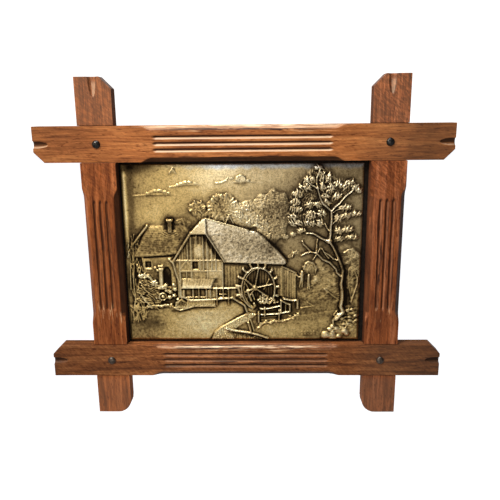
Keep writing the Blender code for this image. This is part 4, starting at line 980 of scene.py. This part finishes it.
for u, v, reach in (
    (41.7, 62.9, 3.0), (51.7, 58.6, 2.8), (46.4, 55.7, 3.0), (50.4, 63.6, 2.4), (42.4, 57.2, 2.4),
    (45.6, 49.6, 2.8), (50.6, 51.6, 2.6), (54.4, 47.4, 2.2),
):
    raise_mound(u, v, reach, 0.85 * reach, 0.52, 5, 0.16, u)
    add_dabs(scatter(u, v, reach, 0.8 * reach, 7, u), 1.8, 1.1, 0.14)
raise_bar((37.4, 60), (37.4, 81.5), 4.6, 0.56)
raise_bar((35.2, 81.6), (40.2, 81.2), 2.0, 0.66)
for u, v in ((31.7, 82.9), (36, 84.2), (38.9, 84.3), (34, 80), (51.6, 90), (48, 92.6)):
    raise_mound(u, v, 2.2, 1.8, 0.6, 4, 0.14, u)
raise_limb([(46.7, 92), (51, 88.4), (53.2, 78.6), (56.7, 66.4), (57.2, 50)], 3.4, 1.8, 0.68, 0.6, bark=0.03)
for k in range(26):
    u, v = 4 + 12 * chance.random(), 40 + 2.2 * k + chance.normal(0, 1.0)
    lean, reach = chance.normal(0, 0.8), 5 + 4 * chance.random()
    raise_limb([(u, v), (u + lean, v + 0.5 * reach), (u + 0.6 * lean, v + reach)], 1.3, 0.7, 0.34, 0.28)
raise_limb([(8.4, 44), (7.4, 68), (9.4, 92), (7.6, 117)], 1.7, 1.1, 0.36, 0.28)
raise_limb([(4, 58), (5, 96), (10.5, 119)], 1.4, 1.0, 0.32, 0.26)
for k in range(22):
    u, v = 2.5 + 15 * chance.random(), 92 + 16 * chance.random()
    lean = chance.normal(0, 1.6)
    raise_limb([(u, v), (u + 0.6 * lean, v + 4), (u + 1.4 * lean, v + 8)], 1.3, 0.6, 0.4, 0.32)
for k in range(16):
    u, v = 10 + 13 * chance.random(), 72 + 20 * chance.random()
    raise_limb([(u, v), (u + chance.normal(0, 1), v + 5)], 1.2, 0.6, 0.44, 0.4)
for k in range(46):
    u, base = 3 + 17 * chance.random(), 21 + 18 * chance.random()
    lean, reach = chance.normal(0.4, 1.4), 5 + 4 * chance.random()
    blade = [(u, base), (u + lean, base + 0.6 * reach), (u + 1.9 * lean, base + reach)]
    raise_limb(blade, 1.7, 0.6, 0.44, 0.34)
for k in range(9):
    u = 51.5 + 1.7 * k
    tip = (58.6 + 0.3 * (k - 4), 50 - 0.8 * abs(k - 4))
    raise_limb([(u, 37.5), (u + 0.7 - 0.25 * k, 43.6), tip], 1.7, 0.7, 0.58, 0.5)

# The tall tree: its dark hollow side, its trunk and limbs, and its pads of leaves.
sink_pocket([(232.4, 38), (240.5, 40), (239, 88), (231.5, 84)], 0.04, soft=2.4)
fork, knot, crotch = (230.2, 71.5), (215.6, 111), (217.2, 142.5)
pads = (
    (194.5, 174.6, 6.4, 4.0, 0.0), (190.6, 167.4, 7.2, 3.4, 0.8), (182.4, 160.4, 5.6, 4.4, 1.0),
    (180.0, 152.4, 5.2, 3.8, 1.5), (181.6, 144.6, 6.4, 3.4, 2.0), (177.8, 137.0, 4.6, 3.2, 2.6),
    (180.4, 130.4, 7.4, 3.4, 0.7), (195.0, 149.0, 4.8, 3.6, 1.7), (196.0, 138.6, 6.0, 4.2, 1.9),
    (194.6, 130.6, 6.2, 3.2, 2.2), (203.6, 149.4, 4.4, 3.4, 0.5), (207.2, 140.4, 4.6, 4.0, 2.4),
    (205.6, 129.8, 3.6, 4.2, 2.5), (207.6, 168.0, 3.6, 5.2, 0.3), (210.6, 157.4, 4.4, 3.6, 0.4),
    (213.4, 176.6, 3.8, 5.2, 1.2), (216.2, 166.4, 4.4, 4.6, 1.3), (222.6, 158.0, 4.0, 3.6, 2.2),
    (223.4, 170.6, 4.0, 3.0, 2.3), (230.4, 168.2, 4.6, 3.0, 0.9), (235.6, 172.2, 4.6, 3.0, 1.1),
    (241.4, 166.4, 4.6, 3.6, 1.9), (245.6, 163.6, 2.6, 2.6, 2.0), (231.4, 146.2, 6.6, 3.0, 2.8),
    (224.6, 135.2, 4.6, 4.4, 0.2), (233.2, 137.6, 5.0, 3.2, 1.0), (242.4, 139.4, 6.4, 2.6, 1.1),
    (225.6, 121.8, 4.6, 4.2, 2.1), (235.2, 122.8, 6.0, 3.2, 0.8), (226.4, 113.2, 5.2, 3.0, 1.6),
    (239.6, 114.8, 6.4, 2.6, 2.5), (203.4, 187.2, 4.2, 2.6, 0.6), (187.0, 122.4, 4.4, 2.4, 0.2),
    (212.4, 150.8, 4.2, 3.4, 0.4), (206.0, 180.4, 3.2, 4.6, 0.9),
)
crown = [(175, 127), (172.5, 140), (175, 158), (183, 169), (190, 178), (200, 189), (212, 186), (222, 177)]
crown += [(243, 173), (248, 163), (236, 160), (222, 154), (213, 146), (211, 128), (196, 125)]
raise_patch(crown, 0.14, pebbled(0.03, 0.05), soft=5.0)
crown_mask = mask_inside(crown, 4, 5, 0.5)
add_dabs(scatter(206, 156, 40, 34, 900, 0.3), 2.4, 1.0, 0.13, angle=1.2, lift=crown_mask)
for u, v, spread_u, spread_v, turn in pads:
    raise_mound(u, v, 1.05 * spread_u, 0.9 * spread_v, 0.26, 7, 0.2, turn)
for u, v, spread_u, spread_v, turn in pads:
    blades = scatter(u, v, spread_u, spread_v, int(spread_u * spread_v * 1.15), turn)
    blades = [(a + chance.normal(0, 0.4), b + chance.normal(0, 0.4)) for a, b in blades]
    lean = 0.95 if u > 219 else math.pi / 2 + 0.9 * math.sin(turn * 3)
    add_dabs(blades, 4.0, 1.15, 0.34, angle=lean)
    count = int(spread_u * spread_v * 0.3)
    tips = scatter(u, v + 0.3 * spread_v, 0.9 * spread_u, 0.6 * spread_v, count, turn + 1)
    add_dabs(tips, 2.6, 1.5, 0.16, angle=lean)

limbs = (
    ([(224.6, 25), (228.6, 29.4), (232.2, 33), (229.4, 39), (230.9, 48), (230.6, 56),
        (229.2, 64), fork], 5.2, 3.0, 0.96, 0.92),
    ([(222.6, 15), (221.6, 22.6), (226.6, 30.4)], 2.4, 3.6, 0.46, 0.84),
    ([(226, 24), (222.4, 29.5), (225.6, 33.6)], 2.2, 1.6, 0.6, 0.5),
    ([fork, (230.8, 79), (228.6, 85.7), (224.6, 95), (222.4, 100), (219, 106), knot], 3.2, 2.5, 0.92, 0.94),
    ([knot, (216.8, 118), (216.8, 126), (217.6, 134), crotch], 2.8, 2.1, 0.94, 0.86),
    ([fork, (224.3, 77), (223.6, 80.6), (217, 87.6), (209.6, 90.9), (205.6, 95), (202.9, 97.9),
        (195.7, 99.4), (190.7, 97.9), (186.4, 95)], 2.4, 1.2, 0.84, 0.62),
    ([crotch, (220.7, 146.9), (225.6, 150.8), (228.2, 154.4), (232, 158.6),
        (238, 163.2)], 2.2, 1.3, 0.84, 0.68),
    ([crotch, (212.9, 146.7), (209.3, 149.6), (206.2, 154.4), (204.3, 160.3), (202.8, 165.6),
        (199.4, 168.4), (196, 169.9), (191, 174.4)], 1.9, 1.0, 0.78, 0.6),
    ([(203, 166), (201.6, 171), (201.6, 177), (205, 185.6)], 1.7, 1.0, 0.72, 0.62),
    ([(206.4, 166), (207.9, 172.4), (208.2, 179.6), (209.8, 183)], 1.3, 0.9, 0.66, 0.6),
    ([knot, (211.6, 112), (207, 114), (202.4, 117.2), (198.8, 119), (191.6, 119.4)], 2.3, 1.2, 0.84, 0.56),
    ([(202.2, 98.6), (202.7, 104), (202.8, 108), (203.6, 112.6)], 1.7, 1.0, 0.68, 0.56),
    ([(197, 99.4), (192.4, 104), (188.8, 107.6), (187.8, 111)], 1.5, 0.9, 0.64, 0.52),
    ([(227, 90), (220.7, 91.6), (216.4, 95.7), (210.4, 99)], 1.8, 1.0, 0.74, 0.58),
    ([(215.8, 92.2), (211.8, 97), (208.4, 102.6)], 1.4, 0.9, 0.66, 0.54),
    ([(199.2, 90.6), (203, 97), (206.6, 102.8)], 1.3, 0.8, 0.6, 0.5),
    ([(217, 120), (213.6, 124), (211, 129.6)], 1.4, 0.8, 0.7, 0.5),
    ([(217.4, 128), (221, 131), (224, 134.6)], 1.3, 0.8, 0.7, 0.56),
    ([(217.2, 140), (222, 143.4), (230, 146)], 1.2, 0.8, 0.66, 0.56),
    ([(176.8, 93.8), (178.8, 98.2)], 1.4, 1.0, 0.46, 0.4),
)
for limb in limbs:
    raise_limb(*limb, bark=0.025)
raise_mound(*knot, 3.3, 3.2, 1.0, 5, 0.06)
for u, v in ((178.6, 98.2), (182, 98.4), (175.4, 94.4)):
    add_dabs(scatter(u, v, 2.6, 2.0, 8, u), 2.2, 1.1, 0.22)

# Far bank: the two small figures, the bushes, the fence, the boulders and rough ground.
for u, v, spread_u, spread_v in (
    (195.4, 82, 7.0, 6.4), (204, 70, 4, 5), (241, 92, 8, 9), (243, 78, 6, 7), (238, 66, 4, 8),
):
    raise_mound(u, v, spread_u, spread_v, 0.26, 6, 0.1, u)
    add_dabs(scatter(u, v, spread_u, spread_v, int(spread_u * spread_v * 0.9), u), 2.2, 1.0, 0.13)
for limb in (
    ([(189.6, 80), (191, 86.6), (194.4, 88.6), (200, 86.6), (202.8, 81.6),
        (202, 76)], 1.6, 1.2, 0.44, 0.38), ([(193, 76), (194.6, 82.6), (198, 84.4)], 1.2, 0.8, 0.4, 0.36),
):
    raise_limb(*limb)
for u, head_v, foot_v, sway, width in ((187.4, 77.3, 60.7, -0.8, 4.0), (194.6, 73.1, 58.5, 0.4, 3.0)):
    raise_limb([(u, head_v - 9), (u, head_v - 2.2)], width, 1.1 * width, 0.56, 0.64)
    raise_limb([(u - 0.7, head_v - 8), (u - 1.3 + sway, foot_v)], 2.2, 1.5, 0.56, 0.5)
    raise_limb([(u + 0.8, head_v - 8), (u + 0.9 + 0.5 * sway, foot_v + 0.4)], 2.2, 1.5, 0.56, 0.5)
    raise_mound(u + 0.3, head_v, 1.7, 1.9, 0.72)
for limb in (
    ([(187.4, 73.6), (184.4, 71.8), (181.9, 74.2)], 1.8, 1.3, 0.62, 0.56),
    ([(237.2, 80), (237.5, 63), (239.4, 54), (240.8, 43)], 1.2, 0.9, 0.3, 0.3),
    ([(240.4, 44), (243.4, 54), (246.2, 63), (246.4, 70)], 2.4, 1.7, 0.54, 0.56),
    ([(246.4, 70), (243.6, 78)], 1.5, 1.1, 0.54, 0.48), ([(246.4, 70), (248.4, 77)], 1.3, 0.9, 0.5, 0.42),
    ([(231.4, 98), (235.7, 101.2), (241, 101.7)], 1.6, 1.0, 0.48, 0.4),
    ([(211.6, 58.6), (219.6, 52), (227.4, 46)], 1.5, 1.3, 0.44, 0.4),
    ([(187, 37), (194, 38.4), (201.6, 39.4)], 1.3, 0.8, 0.42, 0.36),
    ([(193.6, 43.6), (197.4, 41.2), (201.4, 39.3)], 1.2, 0.8, 0.4, 0.36),
):
    raise_limb(*limb)
for u, v in scatter(226, 10, 13, 7, 13, 0.7):
    reach = 3.2 + 2.2 * chance.random()
    raise_mound(u, v, reach, 0.75 * reach, 0.4 + 0.3 * chance.random(), 3, 0.1, u)
raise_mound(214.6, 6.2, 6.4, 4.6, 0.72, 3, 0.08, 0.6)
fallen_branch = [(222, 12.4), (228, 13), (235, 14.6), (237.6, 18), (235.7, 22.6)]
raise_limb(fallen_branch, 2.6, 1.6, 0.52, 0.4, bark=0.05)
for u, v in scatter(238, 26, 10, 11, 20, 0.5):
    reach = 2.4 + 1.8 * chance.random()
    raise_mound(min(u, 247), v, reach, 0.55 * reach, 0.3 + 0.2 * chance.random(), 3, 0.22, u)
add_dabs(scatter(237, 24, 11, 16, 240, 0.9), 2.6, 0.9, 0.13, angle=0.5)

# Two rows of small strokes low on the right bank, with no letters.
for row in range(2):
    for k in range(9):
        u, v = 187.6 + 1.7 * k, 9.2 - 2.8 * row
        raise_limb([(u, v), (u + 0.35 * (-1) ** k, v + 1.7)], 1.0, 0.8, 0.42, 0.4)

# Sky: long thin clouds pressed a little proud of the plain ground.
streaks = (
    ([(12, 159.8), (33, 161.2), (57, 161.0)], 1.3, 0.1),
    ([(50, 168.6), (67, 171.2), (83, 170.8)], 1.4, 0.12),
    ([(98.6, 172.2), (103, 172.6), (108.6, 174.6), (111.4, 178.4)], 1.7, 0.2),
    ([(116, 173.2), (130, 173.4), (148, 173)], 1.0, 0.1),
    ([(50.8, 183), (54, 188), (57.4, 182.4)], 1.7, 0.24),
)
for points, width, height in streaks:
    raise_limb(points, width, 0.4 * width, height, 0.7 * height)
for u, v, reach in (
    (27.4, 162.2, 2.4), (31, 163.6, 2.6), (35.6, 164.8, 3.0), (40.4, 165.0, 2.8), (45, 163.8, 2.6),
    (49, 162.4, 2.0), (59, 170.8, 2.2), (63, 172.0, 2.6), (67.4, 173.2, 2.8), (71.6, 173.4, 2.4),
    (77, 172.2, 2.4), (114.4, 177.2, 2.4), (54, 185.0, 2.8),
):
    raise_mound(u, v, reach, 0.55 * reach, 0.15 + 0.05 * math.sin(3 * u), 5, 0.2, u)
raise_mound(124, 175.4, 5.2, 4.4, 0.15, 5, 0.1, 0.4)
raise_limb([(118.8, 175), (120.4, 178.6), (124, 180), (127.6, 178.6), (129, 175)], 1.3, 1.0, 0.25, 0.2)
raise_mound(121.4, 175.4, 1.7, 2.0, 0.24)
raise_mound(131.4, 174.6, 2.2, 1.3, 0.18)

# The worked height: softened as a pressed sheet is, and kept within the relief's depth.
LOWEST, HIGHEST = -0.02, 0.985
relief = blur(relief, 0.4)
relief += (0.004 + 0.004 * fade(relief / 0.1)) * skin + 0.002 * pebbles + 0.006 * swells * (relief < 0.3)
relief = np.clip(relief, LOWEST, HIGHEST)

# The plate: the front grid, a rolled edge all round, plain sides and a flat back.
ROLL_WIDTH, ROLL_DROP, EDGE_FADE = 3.6, 0.00125, 2.2
border = np.minimum(np.minimum(grid_u, DRAWING_WIDTH - grid_u), np.minimum(grid_v, DRAWING_HEIGHT - grid_v))
rolled = np.clip(1 - border / ROLL_WIDTH, 0, 1)
drop = ROLL_DROP * (1 - np.sqrt(1 - rolled ** 2))
height = relief * relief_depth * np.clip(border / EDGE_FADE, 0, 1)
front = np.stack([
    plate_low.x + grid_u / DRAWING_WIDTH * (plate_high.x - plate_low.x),
    ground_y + drop - height,
    plate_low.z + grid_v / DRAWING_HEIGHT * (plate_high.z - plate_low.z),
], axis=-1).reshape(-1, 3)
index = np.arange(rows * columns).reshape(rows, columns)
quads = np.stack([index[:-1, :-1], index[:-1, 1:], index[1:, 1:], index[1:, :-1]], axis=-1).reshape(-1, 4)
rim = np.concatenate([index[0, :-1], index[:-1, -1], index[-1, :0:-1], index[:0:-1, 0]])
back = front[rim].copy()
back[:, 1] = plate_high.y
behind = len(front) + np.arange(len(rim))
sides = np.stack([rim, behind, np.roll(behind, -1), np.roll(rim, -1)], axis=-1)
plate_mesh = bpy.data.meshes.new("relief_plaque_pewter")
faces = quads.tolist() + sides.tolist() + [behind[::-1].tolist()]
plate_mesh.from_pydata(np.concatenate([front, back]).tolist(), [], faces)
plate_mesh.validate()
plaque = bpy.data.objects.new("relief_plaque_pewter", plate_mesh)
bpy.context.scene.collection.objects.link(plaque)
thin_to(plaque, PLATE_TRIANGLES)


def sample(field, points):
    """Read a field of the grid at points of the plate."""
    across = (points[:, 0] - plate_low.x) / (plate_high.x - plate_low.x) * (columns - 1)
    up = (points[:, 2] - plate_low.z) / (plate_high.z - plate_low.z) * (rows - 1)
    k, m = np.clip(across.astype(int), 0, columns - 2), np.clip(up.astype(int), 0, rows - 2)
    s, t = np.clip(across - k, 0, 1), np.clip(up - m, 0, 1)
    lower = field[m, k] * (1 - s) + field[m, k + 1] * s
    upper = field[m + 1, k] * (1 - s) + field[m + 1, k + 1] * s
    return lower * (1 - t) + upper * t


# The patina: dark wash in the hollows, highs worn bright, and broad tarnish over the plate, with painted
# light laid over it: painted shade and highlights along lines, broad pools of painted reflection, and the
# frame's painted shadow.
near, wide = relief - blur(relief, 0.8), relief - blur(relief, 3.0)
patina_and_painted_light = 0.54 + 0.9 * np.maximum(near, 0) + 4.0 * np.minimum(near, 0) + 1.1 * np.clip(wide, -0.13, 0.1)
patina_and_painted_light += 0.12 * relief
deep = crown_mask.copy()
for u, v, reach_u, reach_v in ((26, 60, 20, 22), (240, 28, 14, 12), (150, 40, 20, 14), (46, 56, 12, 14)):
    deep = np.maximum(deep, np.exp(-((grid_u - u) / reach_u) ** 4 - ((grid_v - v) / reach_v) ** 4))
patina_and_painted_light += deep * (2.0 * np.maximum(near, 0) + 3.2 * np.minimum(near, 0) + 0.7 * wide - 0.02)
# Along lines, mostly painted light: painted shade under the verges, eaves, copings, lean-to, log and clouds,
# beside the trunk, the path and the roof's top, and painted highlights on the bush's ridge, the ramp, the
# lean-to's top and the rocks.
for points, reach, amount in (
    ([(84, 117.5), (101.5, 92)], 2.6, -0.4), ([(106, 87), (168, 84.4)], 2.0, -0.2),
    ([(21, 94), (53, 96)], 1.2, -0.3), ([(95, 45), (113, 46.6), (125, 38.6), (127, 30.6)], 1.8, -0.3),
    ([(85.6, -2), (96, 11.5), (114, 25), (129, 33)], 1.5, -0.3),
    ([(109, 10), (130, 6), (150, 0)], 2.2, -0.3),
    ([(234.4, 42), (233.4, 70), (228, 92), (220.6, 108)], 2.2, -0.4),
    ([(48, 34.2), (57, 32.4), (72, 36.6), (92, 37.8)], 1.6, -0.25), ([(20, 36), (44, 38)], 1.8, -0.2),
    ([(98, 8), (114, 19), (133, 30)], 4.0, 0.12), ([(61, 62), (92, 62)], 1.2, 0.2),
    ([(60, 59), (92, 59)], 1.0, -0.3), ([(204, 78), (212, 62), (222, 46)], 16.0, 0.08),
    ([(150, 10), (186, 14), (214, 18)], 9.0, 0.1), ([(26, 159.2), (50, 160.2)], 1.3, -0.14),
    ([(60, 168.6), (78, 169.8)], 1.2, -0.14), ([(118, 172), (130, 172)], 0.9, -0.2),
    ([(14, 73), (20, 74.6), (26, 71.6), (31, 64.6), (38, 60.4)], 2.6, 0.2),
    ([(16, 60), (28, 52), (34, 47)], 4.0, -0.15),
    ([(116, 146), (124, 140), (134, 134), (148, 124)], 5.0, 0.16),
    ([(217, 4), (222, 8), (230, 11)], 6.0, 0.1), ([(129, 36), (136, 33), (139, 28)], 2.0, 0.25),
    ([(86, 138), (114, 130), (139, 124), (172, 92)], 1.4, -0.2),
):
    part = window_round(points, 3 * reach)
    distance, _ = along_line(points, part)
    patina_and_painted_light[part] += amount * np.exp(-(distance / reach) ** 2)
# Broad patches of tarnish and of painted light: pools of painted reflection over the sky and lawn, the
# frame's painted shadow in the top corners and along the top edge, and painted shade under the half-hip and
# round the chimney.
for u, v, reach_u, reach_v, amount in (
    (52, 150, 42, 18, 0.02), (98, 179, 44, 16, 0.24), (165, 176, 26, 12, 0.06), (86, 20, 36, 17, 0.26),
    (14, 160, 16, 30, -0.1), (95, 80, 8, 8, 0.14), (157, 105, 8, 8, -0.2), (125, 104, 8, 7, -0.08),
    (93, 126, 9, 8, 0.12), (30, 140, 26, 12, 0.08), (140, 152, 14, 8, 0.08), (118, 156, 9, 8, 0.1),
    (120, 40, 16, 10, 0.12), (44, 72, 4, 9, -0.35), (59, 43, 5, 4, -0.3), (147, 47, 9, 5, 0.2),
    (232, 12, 16, 9, 0.14), (90, 142, 30, 12, 0.08), (95, 76, 24, 14, -0.12), (66, 112, 8, 12, -0.12),
    (28, 20, 14, 9, -0.2), (24, 5, 30, 6, -0.02), (93, 128, 12, 9, 0.16), (112, 96, 20, 8, 0.06),
    (150, 106, 12, 10, -0.12), (118, 140, 9, 12, 0.1), (180, 36, 50, 40, -0.06), (132, 62, 30, 22, -0.08),
    (225, 60, 42, 70, -0.16), (34, 106, 34, 18, -0.2), (105, 148, 17, 14, -0.16), (162, 148, 16, 22, -0.14),
    (130, 140, 15, 12, 0.04), (6, 8, 24, 34, -0.12), (78, 146, 11, 9, -0.16), (62, 132, 12, 12, -0.18),
    (240, 182, 34, 18, -0.14), (8, 190, 26, 7, -0.32), (192, 155, 22, 28, -0.16), (20, 65, 26, 30, -0.14),
    (48, 131, 6, 7.5, -0.4), (80, 114, 9, 6, -0.22), (78, 101, 5, 6, 0.2), (95, 80, 10, 8, 0.12),
    (150, 55, 26, 20, -0.05), (143, 62, 13, 16, -0.12), (194.4, 7.6, 9, 4, -0.16), (205, 66, 22, 20, 0.04),
    (100, 192, 90, 3, -0.04), (5, 120, 8, 60, -0.1),
):
    patina_and_painted_light += amount * np.exp(-((grid_u - u) / reach_u) ** 2 - ((grid_v - v) / reach_v) ** 2)
# A painted highlight along the rolled left edge, and a darker band just inside it, higher up.
patina_and_painted_light += 0.4 * np.exp(-((grid_u - 3.4) / 1.7) ** 2) * fade((grid_v - 60) / 50) * fade((188 - grid_v) / 8)
patina_and_painted_light -= 0.12 * np.exp(-((grid_u - 9.5) / 3.5) ** 2) * fade((grid_v - 90) / 50)
sky = fade((grid_v - 128) / 20) * (relief < 0.1)
patina_and_painted_light += (1 - 0.6 * sky) * (0.02 * lumps + 0.04 * pebbles) + 0.03 * swells + (0.004 + 0.014 * sky) * brushed
patina_and_painted_light += meadow_mask * (0.05 * lumps + 0.07 * pebbles)
patina_and_painted_light -= 0.14 * fade((rough(0.45) - 0.62) / 0.3)
grey = 0.06 + 0.6 * fade((grid_u - 40) / 130) * fade((grid_v - 30) / 110) + 0.3 * fade((relief - 0.4) / 0.3)
grey = np.maximum(grey, mask_inside(main_roof, 2, 2, 0.5))
# A painted reflection of the blue sky along the plate's top edge.
painted_sky_reflection = fade((grid_v - 185.5 + 1.2 * lumps) / 4) * fade((grid_u - 20) / 90)
points = read_vectors(plaque.data.vertices, "co")
for name, field in (("patina_and_painted_light", patina_and_painted_light), ("grey", grey), ("painted_sky_reflection", painted_sky_reflection)):
    add_numbers(plaque.data, name, sample(field, points))


def finish_pewter():
    """Pewter with a warm brass wash, darkened and worn back, its colour read from the patina with its painted
    light and shade.
    """
    material, tree, shader, place = start_material("antiqued pewter", 0.36, 1.0)
    patina_and_light, grey, painted_sky_reflection = (read_numbers(tree, name) for name in ("patina_and_painted_light", "grey", "painted_sky_reflection"))
    warm = add_ramp(tree, patina_and_light, [
        (0.08, (0.016, 0.010, 0.005)), (0.34, (0.18, 0.115, 0.044)), (0.58, (0.66, 0.46, 0.17)),
        (0.85, (1.0, 0.79, 0.40)),
    ])
    cool = add_ramp(tree, patina_and_light, [
        (0.08, (0.03, 0.02, 0.012)), (0.36, (0.18, 0.13, 0.07)), (0.6, (0.6, 0.475, 0.28)),
        (0.85, (0.95, 0.82, 0.58)),
    ])
    colour = mix_colours(tree, "MIX", grey, warm, cool)
    # The painted sky reflection turns the colour blue along the top edge.
    colour = mix_colours(tree, "MULTIPLY", painted_sky_reflection, colour, (0.76, 1.0, 1.85))
    specks = add_noise(tree, place, 800.0, EVENLY, 2.0, 0.6)
    speckle = add_ramp(tree, specks, [(0.36, (0.5, 0.46, 0.4)), (0.5, WHITE), (0.64, (1.3, 1.28, 1.22))])
    colour = mix_colours(tree, "MULTIPLY", 0.55, colour, speckle)
    link(tree, colour, shader.inputs["Base Color"])
    shine = add_ramp(tree, patina_and_light, [(0.2, (0.66,)), (0.8, (0.36,))])
    link(tree, shine, shader.inputs["Roughness"])
    add_bump(tree, shader, 0.25, 0.0002, specks)
    return material


plaque.data.shade_smooth()
plaque.data.set_sharp_from_angle(angle=math.radians(75))
plaque.data.materials.append(finish_pewter())
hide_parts("relief_plaque")
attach(plaque, "root")


# Room: a pale floor far below the hanging frame, soft light from the upper left and the
# camera where the photograph was taken from.
FLOOR_HEIGHT = -0.95
BLACK = (0.0, 0.0, 0.0)


def finish_floor():
    """Plain pale floor, brighter towards the back of the room."""
    material, tree, shader, place = start_material("pale floor", 0.85, 0.0)
    shader.inputs["Base Color"].default_value = (0.78, 0.78, 0.78, 1.0)
    split = tree.nodes.new("ShaderNodeSeparateXYZ")
    link(tree, place, split.inputs["Vector"])
    glow = add_ramp(tree, split.outputs["Y"], [(0.3, BLACK), (0.6, WHITE)])
    link(tree, glow, shader.inputs["Emission Color"])
    shader.inputs["Emission Strength"].default_value = 0.8
    return material


bpy.ops.mesh.primitive_plane_add(size=30, location=(0, 0, FLOOR_HEIGHT))
floor = bpy.context.object
floor.name = "floor"
floor.data.materials.append(finish_floor())

for name, place, aim, size, power, colour in (
    ("window", (-0.46, -0.52, 0.50), (0, 0, -0.1), 0.30, 6.0, (1.0, 0.97, 0.92)),
    ("ceiling", (-0.05, -0.22, 1.0), (0, 0, -0.1), 0.4, 7.5, (0.88, 0.94, 1.0)),
    ("room", (-0.2, -1.3, -0.1), (0, 0, -0.12), 0.9, 2.8, (1.0, 0.97, 0.93)),
):
    lamp_data = bpy.data.lights.new(name, "AREA")
    lamp_data.energy = power
    lamp_data.size = size
    lamp_data.color = colour
    lamp = bpy.data.objects.new(name, lamp_data)
    lamp.location = place
    lamp.rotation_euler = (Vector(aim) - Vector(place)).to_track_quat("-Z", "Y").to_euler()
    bpy.context.scene.collection.objects.link(lamp)

world = bpy.data.worlds.new("room")
bpy.context.scene.world = world
world.use_nodes = True
tree = world.node_tree
background = tree.nodes["Background"]
direction = tree.nodes.new("ShaderNodeTexCoord").outputs["Generated"]
surround = (0.10, 0.097, 0.093)
for aim, start, end, colour in (
    ((0.02, 0.97, -0.1), 0.72, 0.86, (1.1, 1.1, 1.1)),
    ((-0.34, -0.9, -0.3), 0.8, 1.0, (0.40, 0.38, 0.34)),
    ((-0.2, -0.5, 0.85), 0.8, 0.98, (0.7, 0.8, 1.0)),
    ((-0.85, -0.5, 0.1), 0.86, 0.98, (0.8, 0.78, 0.72)),
):
    dot = add_node(tree, "ShaderNodeVectorMath", operation="DOT_PRODUCT")
    link(tree, direction, dot.inputs[0])
    dot.inputs[1].default_value = Vector(aim).normalized()
    lobe = add_ramp(tree, dot.outputs["Value"], [(start, BLACK), (end, colour)])
    surround = mix_colours(tree, "ADD", 1.0, surround, lobe)
link(tree, surround, background.inputs["Color"])
background.inputs["Strength"].default_value = 1.0

camera_data = bpy.data.cameras.new("camera")
camera_data.lens = 40.507
camera_data.sensor_width = 36.0
camera_data.clip_start = 0.01
camera = bpy.data.objects.new("camera", camera_data)
camera.location = (0.0190, -0.5816, 0.0290)
camera.rotation_euler = (math.radians(76.3151), math.radians(0.5686), math.radians(1.1375))
bpy.context.scene.collection.objects.link(camera)
bpy.context.scene.camera = camera
bpy.context.scene.view_settings.view_transform = "Standard"
